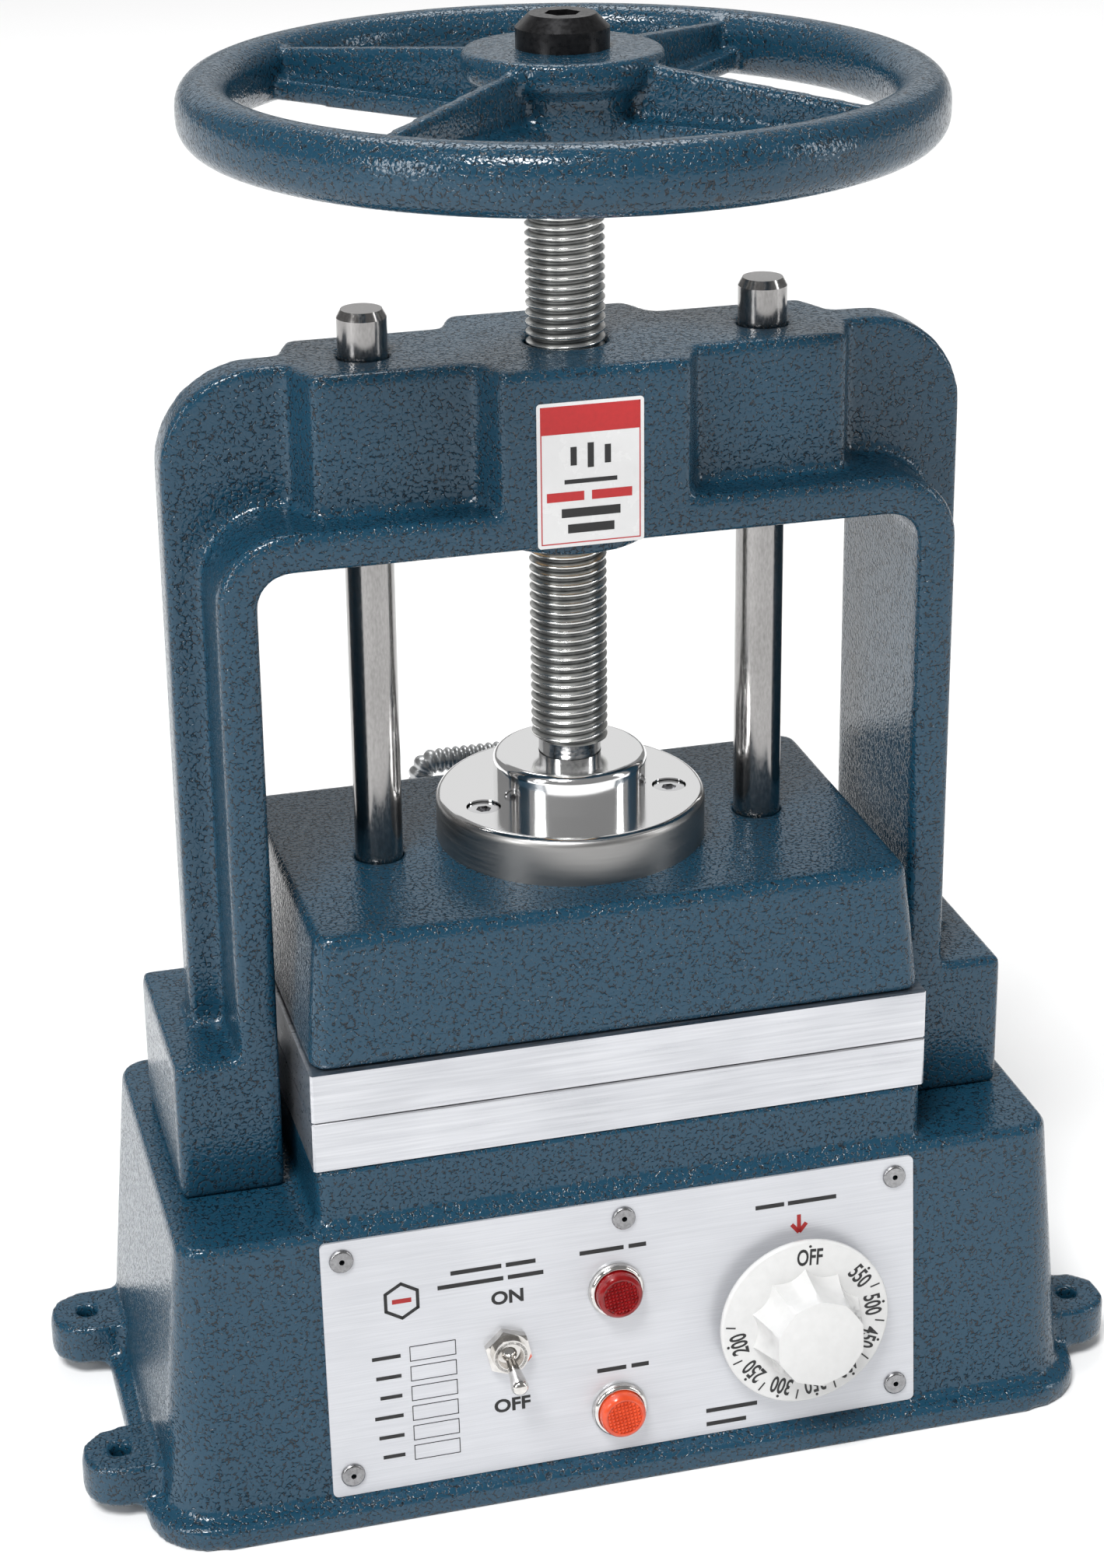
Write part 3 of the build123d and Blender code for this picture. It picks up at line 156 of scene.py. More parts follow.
def finished(name: str, bm: bmesh.types.BMesh, body: Body, finish: "Finish",
             replaces: tuple[str, ...] = (), smooth: float = 35.0) -> bpy.types.Object:
    """Makes an object of a mesh, dresses it and fixes it to its body.

    Args:
        name: The piece's name.
        bm: Its mesh, in the row frame, which is used up.
        body: The body it rides on.
        finish: What it is made of.
        replaces: The CAD nodes it stands for.
        smooth: Edges under this many degrees are shaded smooth.

    Returns:
        The new object.
    """
    mesh = bpy.data.meshes.new(name)
    bm.to_mesh(mesh)
    bm.free()
    piece = bpy.data.objects.new(name, mesh)
    bpy.context.scene.collection.objects.link(piece)
    mesh.shade_smooth()
    mesh.set_sharp_from_angle(angle=math.radians(smooth))
    mesh.materials.append(finish.material())
    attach(piece, body.value)
    if replaces:
        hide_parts(*replaces)
    log.info("piece %s: %d faces on %s", name, len(mesh.polygons), body.value)
    return piece


def lettering(bm: bmesh.types.BMesh, words: str, height: float, place: Matrix, spread: float = 1.0,
              weight: float = 0.2) -> None:
    """Adds raised figures or letters, centred on their place.

    Args:
        bm: The mesh that takes them.
        words: What is written.
        height: Height of a capital, in mm.
        place: The middle of the words, with x along them and z out.
        spread: Width against the font's own.
        weight: How far each stroke is thickened, in mm.
    """
    curve = bpy.data.curves.new("figures", "FONT")
    curve.body = words
    curve.align_x = "CENTER"
    curve.align_y = "CENTER"
    curve.size = height * MM / 0.69
    curve.extrude = 0.03 * MM
    curve.offset = weight * MM
    curve.resolution_u = 4
    holder = bpy.data.objects.new("figures", curve)
    bpy.context.scene.collection.objects.link(holder)
    bpy.context.view_layer.update()
    mesh = bpy.data.meshes.new_from_object(holder)
    own = bmesh.new()
    own.from_mesh(mesh)
    bpy.data.objects.remove(holder)
    bpy.data.curves.remove(curve)
    bpy.data.meshes.remove(mesh)
    bmesh.ops.scale(own, vec=(spread, 1.0, 1.0), verts=own.verts)
    recalculated(own)
    join(bm, own, place)


def plate_mark(bm: bmesh.types.BMesh, width: float, height: float, place: Matrix, turn: float = 0.0) -> None:
    """Adds a thin printed bar.

    Args:
        bm: The mesh that takes it.
        width: Its length along x, in mm.
        height: Its height along y, in mm.
        place: Its middle, with z out.
        turn: Turn about z, in degrees.
    """
    own = bmesh.new()
    bmesh.ops.create_cube(own, size=1.0)
    bmesh.ops.scale(own, vec=(width * MM, height * MM, 0.06 * MM), verts=own.verts)
    join(bm, own, place @ Matrix.Rotation(math.radians(turn), 4, "Z"))


# --------------------------------------------------------------------------- finishes
class Graph:
    """The node graph of one material, with a shader ready in it."""

    def __init__(self, name: str) -> None:
        """Starts a material.

        Args:
            name: The material's name.
        """
        self.material = bpy.data.materials.new(name)
        self.material.use_nodes = True
        self.tree = self.material.node_tree
        self.shader = self.tree.nodes["Principled BSDF"]
        self.coords = self.add("ShaderNodeTexCoord").outputs["Object"]

    def add(self, kind: str, **inputs: object) -> bpy.types.Node:
        """Adds a node and fills its inputs.

        Args:
            kind: The node's type.
            inputs: Values or sockets by input name, with underscores for spaces.

        Returns:
            The node.
        """
        node = self.tree.nodes.new(kind)
        for key, value in inputs.items():
            socket = node.inputs[int(key[1:])] if key[1:].isdigit() else node.inputs[key.replace("_", " ")]
            if isinstance(value, bpy.types.NodeSocket):
                self.tree.links.new(value, socket)
            else:
                socket.default_value = value
        return node

    def scaled(self, scale: tuple[float, float, float]) -> bpy.types.NodeSocket:
        """Object coordinates times a scale, per metre."""
        return self.add("ShaderNodeMapping", Vector=self.coords, Scale=scale).outputs[0]

    def ramp(self, value: bpy.types.NodeSocket, *stops: tuple[float, tuple[float, ...]]) -> bpy.types.NodeSocket:
        """Turns a value into a colour.

        Args:
            value: The value to look up.
            stops: Positions with their linear colours.

        Returns:
            The colour socket.
        """
        node = self.add("ShaderNodeValToRGB", Fac=value)
        band = node.color_ramp
        while len(band.elements) < len(stops):
            band.elements.new(0.5)
        for element, (position, colour) in zip(band.elements, stops):
            element.position = position
            element.color = (*colour[:3], 1.0)
        return node.outputs["Color"]

    def span(self, value: bpy.types.NodeSocket, low: float, high: float, to_low: float,
             to_high: float) -> bpy.types.NodeSocket:
        """Maps a value from one range to another, clamped."""
        return self.add("ShaderNodeMapRange", Value=value, From_Min=low, From_Max=high, To_Min=to_low,
                        To_Max=to_high).outputs[0]

    def math(self, how: str, a: object, b: object = 0.0) -> bpy.types.NodeSocket:
        """Joins two values with a sum of the named kind."""
        node = self.add("ShaderNodeMath", _0=a, _1=b)
        node.operation = how
        return node.outputs[0]

    def radius(self) -> bpy.types.NodeSocket:
        """Distance from the screw axis, in metres."""
        flat = self.add("ShaderNodeVectorMath", _0=self.coords, _1=(1.0, 1.0, 0.0))
        flat.operation = "MULTIPLY"
        length = self.add("ShaderNodeVectorMath", _0=flat.outputs[0])
        length.operation = "LENGTH"
        return length.outputs["Value"]

    def noise(self, scale: tuple[float, float, float], detail: float = 3.0) -> bpy.types.NodeSocket:
        """Noise over object space with its own scale along each axis, per metre."""
        return self.add("ShaderNodeTexNoise", Vector=self.scaled(scale), Scale=1.0, Detail=detail).outputs["Fac"]

    def bump(self, height: bpy.types.NodeSocket, distance: float, strength: float = 1.0) -> None:
        """Puts a relief of so many mm on the shader."""
        node = self.add("ShaderNodeBump", Height=height, Distance=distance * MM, Strength=strength)
        self.tree.links.new(node.outputs[0], self.shader.inputs["Normal"])

    def set(self, **inputs: object) -> None:
        """Sets or links inputs of the shader, with underscores for spaces."""
        for key, value in inputs.items():
            socket = self.shader.inputs[key.replace("_", " ")]
            if isinstance(value, bpy.types.NodeSocket):
                self.tree.links.new(value, socket)
            else:
                socket.default_value = value


@dataclass(frozen=True)
class Finish:
    """A surface with a fine grain: two close colours, uneven gloss and a slight relief."""

    name: str
    slot: str
    light: tuple[float, float, float]
    dark: tuple[float, float, float]
    metallic: float = 1.0
    gloss: tuple[float, float] = (0.2, 0.32)
    grain: tuple[float, float, float] = (300.0, 300.0, 300.0)
    relief: float = 0.02
    coat: float = 0.0

    def material(self) -> bpy.types.Material:
        """Gives the material, made once."""
        made = bpy.data.materials.get(self.name)
        if made is None:
            graph = Graph(self.name)
            graph.set(Metallic=self.metallic, Coat_Weight=self.coat, Coat_Roughness=0.08)
            self.paint(graph)
            made = graph.material
        return made

    def paint(self, graph: Graph) -> None:
        """Builds the pattern.

        Args:
            graph: The graph in work.
        """
        grain = graph.noise(self.grain)
        cloud = graph.noise((28.0, 28.0, 28.0), 2.0)
        both = graph.math("ADD", graph.math("MULTIPLY", grain, 0.65), graph.math("MULTIPLY", cloud, 0.35))
        graph.set(Base_Color=graph.ramp(both, (0.3, self.dark), (0.7, self.light)),
                  Roughness=graph.span(grain, 0.3, 0.7, *self.gloss))
        graph.bump(grain, self.relief)


@dataclass(frozen=True)
class Hammertone(Finish):
    """Hammertone enamel: small glossy islands of blue, edged by fine dark worm-like cracks."""

    cells: float = 560.0

    def paint(self, graph: Graph) -> None:
        """Builds the cells, their dark borders and the dimples.

        Args:
            graph: The graph in work.
        """
        warp = graph.add("ShaderNodeTexNoise", Vector=graph.scaled((self.cells * 0.8,) * 3), Scale=1.0, Detail=2.0)
        shift = graph.add("ShaderNodeVectorMath", _0=warp.outputs["Color"], _1=(1.3, 1.3, 1.3))
        shift.operation = "MULTIPLY"
        moved = graph.add("ShaderNodeVectorMath", _0=graph.scaled((self.cells,) * 3), _1=shift.outputs[0])
        cells = graph.add("ShaderNodeTexVoronoi", Vector=moved.outputs[0], Scale=1.0)
        cells.feature = "DISTANCE_TO_EDGE"
        edge = cells.outputs["Distance"]
        breaks = graph.span(graph.noise((self.cells * 1.3,) * 3, 1.0), 0.42, 0.58, 0.0, 0.15)
        crack = graph.math("ADD", edge, breaks)
        mid = tuple(a * 0.5 + b * 0.5 for a, b in zip(self.light, self.dark))
        graph.set(Base_Color=graph.ramp(crack, (0.03, self.dark), (0.08, mid), (0.15, self.light)),
                  Roughness=graph.span(crack, 0.02, 0.15, self.gloss[1], self.gloss[0]))
        swell = graph.math("MULTIPLY", graph.span(edge, 0.0, 0.5, 0.0, 1.0), 0.55)
        graph.bump(graph.math("ADD", swell, graph.span(crack, 0.0, 0.16, 0.0, 1.0)), self.relief)


@dataclass(frozen=True)
class Turned(Finish):
    """Plated or turned metal with faint rings about the screw axis."""

    rings: float = 9000.0

    def paint(self, graph: Graph) -> None:
        """Builds the rings.

        Args:
            graph: The graph in work.
        """
        ring = graph.math("SINE", graph.math("MULTIPLY", graph.radius(), self.rings))
        cloud = graph.noise((60.0, 60.0, 60.0))
        graph.set(Base_Color=graph.ramp(cloud, (0.3, self.dark), (0.7, self.light)),
                  Roughness=graph.span(cloud, 0.35, 0.65, *self.gloss))
        graph.bump(ring, self.relief)


@dataclass(frozen=True)
class ChromedCollar(Turned):
    """A chromed turning whose outer wall is rougher and painted darker, a painted dark reflection on the collar's side.
    """

    wall: float = 44.4

    def paint(self, graph: Graph) -> None:
        """Builds the bright face and the dull wall.

        Args:
            Builds the bright face and the rougher wall with its painted dark reflection.
        """
        super().paint(graph)
        outside = graph.span(graph.radius(), (self.wall - 0.5) * MM, self.wall * MM, 0.0, 1.0)
        streak = graph.noise((60.0, 60.0, 1500.0))
        gloss = graph.math("MULTIPLY", outside, graph.span(streak, 0.3, 0.7, 0.22, 0.34))
        # Outer wall: rougher, and its colour darkened to a grey as a painted dark reflection on the collar's side.
        graph.set(Base_Color=graph.ramp(outside, (0.0, self.light), (1.0, (0.34, 0.335, 0.33))),
                  Roughness=graph.math("ADD", gloss, self.gloss[0]))


@dataclass(frozen=True)
class CutThread(Finish):
    """A cut thread: rougher and darker towards the root, the dark being painted shade in the grooves, glossier and
    lighter on the crest.
    """

    root: float = 11.1
    crest: float = 12.65

    def paint(self, graph: Graph) -> None:
        """Builds the change from root to crest, with painted shade in the roots.

        Args:
            graph: The graph in work.
        """
        # Colour darkens from crest to root: painted shade in the thread's grooves; the stain noise on top is random
        # tone.
        height = graph.span(graph.radius(), self.root * MM, self.crest * MM, 0.0, 1.0)
        stain = graph.noise((240.0, 240.0, 90.0), 4.0)
        mixed = graph.math("ADD", graph.math("MULTIPLY", height, 0.72), graph.math("MULTIPLY", stain, 0.35))
        graph.set(Base_Color=graph.ramp(mixed, (0.1, self.dark), (0.85, self.light)),
                  Roughness=graph.span(mixed, 0.1, 0.9, self.gloss[1], self.gloss[0]))
        graph.bump(stain, self.relief)


BLUE, PIT = (0.0075, 0.046, 0.083), (0.0014, 0.007, 0.013)
ENAMEL = Hammertone("hammertone_enamel", "enamel_casting", BLUE, PIT, 0.0, (0.12, 0.26), relief=0.12)
MILLED = Finish("milled_aluminium", "platen_aluminium", (0.74, 0.75, 0.78), (0.5, 0.51, 0.54), 1.0, (0.26, 0.42),
                (26.0, 900.0, 900.0), 0.03)
GROUND = Finish("ground_bar", "ground_steel", (0.40, 0.39, 0.385), (0.25, 0.245, 0.24), 1.0, (0.13, 0.22),
                (1500.0, 1500.0, 500.0), 0.006)
THREAD = CutThread("cut_thread", "screw_steel", (0.74, 0.74, 0.72), (0.1, 0.105, 0.105), 1.0, (0.22, 0.5), relief=0.08)
NECK = Finish("turned_neck", "screw_steel", (0.78, 0.78, 0.78), (0.56, 0.56, 0.56), 1.0, (0.1, 0.2),
              (900.0, 900.0, 900.0), 0.01)
CHROME = Turned("chromed_turning", "chrome_plate", (0.86, 0.86, 0.87), (0.66, 0.66, 0.67), 1.0, (0.1, 0.17), relief=0.003)
COLLAR = ChromedCollar("chromed_collar", "chrome_plate", (0.9, 0.9, 0.9), (0.72, 0.72, 0.72), 1.0, (0.1, 0.17),
                       relief=0.003)
NICKEL = Finish("bright_nickel", "nickel_plate", (0.82, 0.8, 0.77), (0.6, 0.58, 0.56), 1.0, (0.08, 0.16),
                (500.0, 500.0, 500.0), 0.006)
OXIDE = Finish("blackened_screw", "black_oxide", (0.022, 0.022, 0.024), (0.008, 0.008, 0.009), 0.6, (0.24, 0.4),
               (600.0, 600.0, 600.0), 0.02)
ZINC = Finish("zinc_plate", "zinc_steel", (0.62, 0.63, 0.63), (0.38, 0.39, 0.4), 1.0, (0.24, 0.42),
              (220.0, 220.0, 220.0), 0.02)
BRONZE = Turned("bearing_bronze", "bronze", (0.66, 0.42, 0.2), (0.42, 0.25, 0.11), 1.0, (0.2, 0.36), relief=0.01)
PANEL = Finish("brushed_panel", "panel_aluminium", (0.66, 0.67, 0.70), (0.54, 0.55, 0.58), 0.5, (0.34, 0.46),
               (40.0, 2200.0, 2200.0), 0.012)
RIVET = Finish("dull_rivet", "rivet_aluminium", (0.42, 0.42, 0.43), (0.22, 0.22, 0.225), 1.0, (0.2, 0.36),
               (800.0, 800.0, 800.0), 0.02)
DIAL_WHITE = Finish("dial_moulding", "dial_plastic", (0.66, 0.66, 0.655), (0.61, 0.61, 0.605), 0.0, (0.16, 0.26),
                    (350.0, 350.0, 350.0), 0.006, 0.3)
RED_LENS = Finish("red_glass", "red_lens", (0.3, 0.003, 0.005), (0.14, 0.001, 0.002), 0.0, (0.1, 0.18),
                  (260.0, 260.0, 260.0), 0.01, 0.2)
AMBER_LENS = Finish("amber_glass", "amber_lens", (0.72, 0.09, 0.028), (0.5, 0.045, 0.014), 0.0, (0.1, 0.18),
                    (260.0, 260.0, 260.0), 0.01, 0.2)
PHENOLIC = Finish("black_phenolic", "black_plastic", (0.03, 0.03, 0.03), (0.015, 0.015, 0.016), 0.0, (0.34, 0.5),
                  (500.0, 500.0, 500.0), 0.03)
BOARD = Finish("pressed_board", "insulating_board", (0.66, 0.63, 0.54), (0.5, 0.47, 0.4), 0.0, (0.7, 0.85),
               (260.0, 260.0, 260.0), 0.06)
SHEATH = Finish("heater_sheath", "heater_steel", (0.45, 0.4, 0.34), (0.25, 0.2, 0.19), 1.0, (0.3, 0.5),
                (90.0, 90.0, 90.0), 0.03)
COPPER = Finish("drawn_copper", "copper", (0.72, 0.36, 0.22), (0.45, 0.2, 0.12), 1.0, (0.2, 0.4),
                (180.0, 180.0, 180.0), 0.02)
FILM = Finish("glossy_film", "label_film", (0.74, 0.74, 0.74), (0.69, 0.69, 0.69), 0.0, (0.2, 0.3),
              (200.0, 200.0, 200.0), 0.004)
BLACK_INK = Finish("black_ink", "panel_aluminium", (0.012, 0.012, 0.013), (0.006, 0.006, 0.007), 0.0, (0.4, 0.55),
                   (700.0, 700.0, 700.0), 0.002)
RED_INK = Finish("red_ink", "panel_aluminium", (0.36, 0.014, 0.014), (0.26, 0.01, 0.01), 0.0, (0.4, 0.55),
                 (700.0, 700.0, 700.0), 0.002)
LABEL_BLACK = Finish("label_black", "label_film", (0.012, 0.012, 0.013), (0.006, 0.006, 0.007), 0.0, (0.3, 0.4),
                     (700.0, 700.0, 700.0), 0.002)
LABEL_RED = Finish("label_red", "label_film", (0.5, 0.016, 0.018), (0.42, 0.012, 0.014), 0.0, (0.3, 0.4),
                   (700.0, 700.0, 700.0), 0.002)
DIAL_INK = Finish("dial_ink", "dial_plastic", (0.012, 0.012, 0.013), (0.006, 0.006, 0.007), 0.0, (0.3, 0.4),
                  (700.0, 700.0, 700.0), 0.002)

CARRIED = {
    ZINC: ("bottom_cover", "bottom_cover_screws", "yoke_bolt_washers", "lamp_clips", "thermostat_body",
           "thermostat_screws", "thermostat_shaft", "conduit_base_fitting", "conduit_block_fitting"),
    OXIDE: ("yoke_bolts", "nut_grub_screw", "lower_platen_screws", "upper_platen_screws", "guide_rod_screws",
            "wheel_screw"),
    BRONZE: ("screw_nut", "thrust_washer"),
    MILLED: ("lower_platen", "upper_platen"),
    SHEATH: ("lower_heater", "upper_heater"),
    BOARD: ("lower_board", "upper_board"),
    COPPER: ("thermostat_bulb", "capillary_tube"),
    PANEL: ("control_plate",),
    RIVET: ("plate_rivets",),
    NICKEL: ("toggle_body", "toggle_ring"),
    PHENOLIC: ("power_lamp_body", "heat_lamp_body", "terminal_block", "cord_gland"),
    GROUND: ("guide_rod_left", "guide_rod_right", "foot_pin", "wheel_key"),
    COLLAR: ("swivel_collar",),
    CHROME: ("collar_screws", "screw_foot"),
    FILM: ("yoke_label",),
}


def dress_carried() -> None:
    """Gives the CAD nodes that stay as they are their finishes."""
    for finish, nodes in CARRIED.items():
        for node in nodes:
            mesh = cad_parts[node].data
            mesh.materials.clear()
            mesh.materials.append(finish.material())
            log.info("node %s: %s", node, finish.name)


# --------------------------------------------------------------------------- castings
@dataclass
class Casting:
    """A sand casting: the CAD shape with every corner rounded and every inner corner filled."""

    node: str
    body: Body
    voxel: float
    rounding: int = 8
    most_faces: int = 185000

    def build(self) -> bpy.types.Object:
        """Makes the casting from its node.

        Returns:
            The finished piece.
        """
        bm = bmesh.new()
        bm.from_mesh(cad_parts[self.node].data)
        recalculated(bm, 1e-5)
        mesh = bpy.data.meshes.new(self.node)
        bm.to_mesh(mesh)
        bm.free()
        rough = bpy.data.objects.new(self.node + "_rough", mesh)
        bpy.context.scene.collection.objects.link(rough)
        remesh = rough.modifiers.new("skin", "REMESH")
        remesh.mode = "VOXEL"
        remesh.voxel_size = self.voxel * MM
        relax = rough.modifiers.new("relax", "SMOOTH")
        relax.iterations = self.rounding
        relax.factor = 0.5
        bpy.context.view_layer.update()
        counted = rough.evaluated_get(bpy.context.evaluated_depsgraph_get()).data
        triangles = 2 * len(counted.polygons)
        if triangles > self.most_faces:
            thin = rough.modifiers.new("thin", "DECIMATE")
            thin.ratio = self.most_faces / triangles
        bpy.context.view_layer.update()
        made = bpy.data.meshes.new_from_object(rough.evaluated_get(bpy.context.evaluated_depsgraph_get()))
        bm = bmesh.new()
        bm.from_mesh(made)
        bpy.data.objects.remove(rough)
        bpy.data.meshes.remove(mesh)
        bpy.data.meshes.remove(made)
        return finished(self.node + "_cast", bm, self.body, ENAMEL, (self.node,), smooth=80.0)


# --------------------------------------------------------------------------- screw
@dataclass
class PressScrew:
    """The lead screw with a true helix and its plain ends."""

    crest: float = 12.68
    root: float = 11.0
    pitch: float = 3.175
    low: float = 237.0
    high: float = 437.7
    around: int = 44
    neck: list[tuple[float, float]] = field(default_factory=lambda: [
        (0, 191.5), (6.4, 191.5), (7, 192.1), (7, 201.9), (10.3, 201.9), (10.3, 236.4), (11.6, 237.6), (0, 237.6)])
    top: list[tuple[float, float]] = field(default_factory=lambda: [
        (0, 437.2), (12.6, 437.2), (12.6, 437.8), (9.5, 437.8), (9.5, 462.4), (8.8, 463.1), (0, 463.1)])

    def thread(self, bm: bmesh.types.BMesh) -> None:
        """Adds the threaded length.

        Args:
            bm: The mesh that takes it.
        """
        own = bmesh.new()
        start = self.low - 1.5 * self.pitch
        turns = math.ceil((self.high - self.low) / self.pitch) + 3
        section = [(self.root, 0.0), (self.root, 0.35), (self.crest - 0.12, 1.25), (self.crest, 1.4),
                   (self.crest, 1.9), (self.crest - 0.12, 2.05), (self.root, 2.9), (self.root, self.pitch)]
        verts = [own.verts.new((r * MM, 0.0, (start + z) * MM)) for r, z in section]
        edges = [own.edges.new(pair) for pair in zip(verts, verts[1:])]
        steps = turns * self.around
        bmesh.ops.spin(own, geom=verts + edges, cent=(0, 0, 0), axis=SCREW_AXIS,
                       dvec=(0, 0, self.pitch * MM / self.around), angle=math.tau * turns, steps=steps,
                       use_merge=False, use_duplicate=False)
        bmesh.ops.remove_doubles(own, verts=own.verts, dist=1e-5)
        for level, up in ((self.low, -1.0), (self.high, 1.0)):
            bmesh.ops.bisect_plane(own, geom=own.verts[:] + own.edges[:] + own.faces[:], dist=1e-6,
                                   plane_co=(0, 0, level * MM), plane_no=(0, 0, up), clear_outer=True)
        rims = [e for e in own.edges if e.is_boundary]
        bmesh.ops.edgeloop_fill(own, edges=rims)
        bmesh.ops.triangulate(own, faces=[f for f in own.faces if len(f.verts) > 4])
        bmesh.ops.recalc_face_normals(own, faces=own.faces)
        join(bm, own)

    def build(self) -> None:
        """Makes the threaded length with its top end, and the plain neck below it."""
        bm = bmesh.new()
        self.thread(bm)
        lathed(bm, self.top, 72)
        finished("press_screw_threaded", bm, Body.SCREW, THREAD, ("press_screw",), smooth=50.0)
        bm = bmesh.new()
        lathed(bm, self.neck, 72)
        finished("press_screw_neck", bm, Body.SCREW, NECK, ("press_screw",), smooth=50.0)


# --------------------------------------------------------------------------- panel
@dataclass
class ToggleSwitch:
    """The bat lever and its chamfered nut."""

    across: float = -43.7
    up: float = 53.5
    pivot: float = 1.0
    tilt: float = 18.0
    nut_radius: float = 8.1
    nut_height: float = 3.2
    nut_turn: float = 12.0

    def lever(self) -> None:
        """Makes the lever, hanging down in its off position."""
        bm = bmesh.new()
        profile = [(0, -7), (1.4, -7), (1.4, -4.1), (2.6, -3.3), (3.7, -2.0), (4.15, 0), (3.7, 2.0), (2.6, 3.2), (1.55, 3.9),
                   (1.55, 6.0), (1.7, 7.0), (2.75, 15.4), (2.9, 16.6), (2.75, 17.6), (2.2, 18.45), (1.3, 18.9), (0, 19)]
        place = panel_matrix(self.across, self.up, self.pivot) @ Matrix.Rotation(math.radians(self.tilt), 4, "X")
        lathed(bm, profile, 40, place)
        finished("toggle_bat", bm, Body.TOGGLE, NICKEL, ("toggle_lever",), smooth=60.0)

    def nut(self) -> None:
        """Makes the nut, with its corners turned off on the face."""
        bm = bmesh.new()
        own = bmesh.new()
        bmesh.ops.create_cone(own, cap_ends=True, segments=6, radius1=self.nut_radius * MM,
                              radius2=self.nut_radius * MM, depth=self.nut_height * MM)
        bmesh.ops.rotate(own, verts=own.verts, cent=(0, 0, 0), matrix=Matrix.Rotation(math.radians(self.nut_turn), 3, "Z"))
        flat = self.nut_radius * math.cos(math.pi / 6)
        for step in range(48):
            turn = math.tau * step / 48
            out = Vector((math.cos(turn), math.sin(turn), 0.0))
            cut = bmesh.ops.bisect_plane(own, geom=own.verts[:] + own.edges[:] + own.faces[:], dist=1e-7,
                                         plane_co=out * (flat * MM) + Vector((0, 0, self.nut_height * MM / 2)),
                                         plane_no=out + Vector((0, 0, 1.6)), clear_outer=True)
            rim = [e for e in cut["geom_cut"] if isinstance(e, bmesh.types.BMEdge)]
            if rim:
                bmesh.ops.edgeloop_fill(own, edges=rim)
        recalculated(own, 1e-7)
        join(bm, own, panel_matrix(self.across, self.up, 1.0 + self.nut_height / 2))
        lathed(bm, [(4.3, 4.0), (5.3, 4.0), (5.9, 4.0), (5.9, 6.0), (5.5, 6.5), (4.6, 6.5), (4.3, 6.2)], 48,
               panel_matrix(self.across, self.up, 0.0))
        finished("toggle_nut_hex", bm, Body.BASE, NICKEL, ("toggle_nut",), smooth=20.0)

    def build(self) -> None:
        """Makes both pieces."""
        self.lever()
        self.nut()


@dataclass
class PilotLamp:
    """A round lamp: a rolled bezel and a lens with a pyramid-cut face."""

    name: str
    up: float
    finish: Finish
    across: float = -6.2
    lens: float = 7.65
    cut: float = 5.6
    pyramids: int = 9

    def build(self) -> None:
        """Makes the bezel and the lens."""
        bm = bmesh.new()
        lathed(bm, [(7.8, 1.0), (9.1, 1.0), (9.5, 1.3), (9.5, 2.3), (9.2, 3.1), (8.6, 3.7), (8.1, 3.9), (7.8, 3.7)], 72,
               panel_matrix(self.across, self.up, 0.0))
        finished(self.name + "_bezel_ring", bm, Body.BASE, NICKEL, (self.name + "_lamp_bezel",), smooth=60.0)
        bm = bmesh.new()
        edge = self.cut + 0.9
        lathed(bm, [(0, 1.0), (self.lens, 1.0), (self.lens, 6.4), (7.5, 7.0), (7.1, 7.5), (edge, 7.85), (edge - 0.5, 7.75),
                    (edge - 0.6, 7.35), (0, 7.35)], 72, panel_matrix(self.across, self.up, 0.0))
        own = bmesh.new()
        bmesh.ops.create_grid(own, x_segments=self.pyramids, y_segments=self.pyramids, size=self.cut * MM)
        far = [f for f in own.faces if f.calc_center_median().length > self.cut * MM]
        bmesh.ops.delete(own, geom=far, context="FACES")
        bmesh.ops.poke(own, faces=own.faces, offset=0.7 * MM, center_mode="MEAN")
        skirt = [e for e in own.edges if e.is_boundary]
        wall = bmesh.ops.extrude_edge_only(own, edges=skirt)
        low = [v for v in wall["geom"] if isinstance(v, bmesh.types.BMVert)]
        bmesh.ops.translate(own, verts=low, vec=(0, 0, -0.2 * MM))
        bmesh.ops.edgeloop_fill(own, edges=[e for e in own.edges if e.is_boundary])
        recalculated(own)
        join(bm, own, panel_matrix(self.across, self.up, 7.4) @ Matrix.Rotation(math.radians(8), 4, "Z"))
        finished(self.name + "_lens_cut", bm, Body.BASE, self.finish, (self.name + "_lamp_lens",), smooth=20.0)


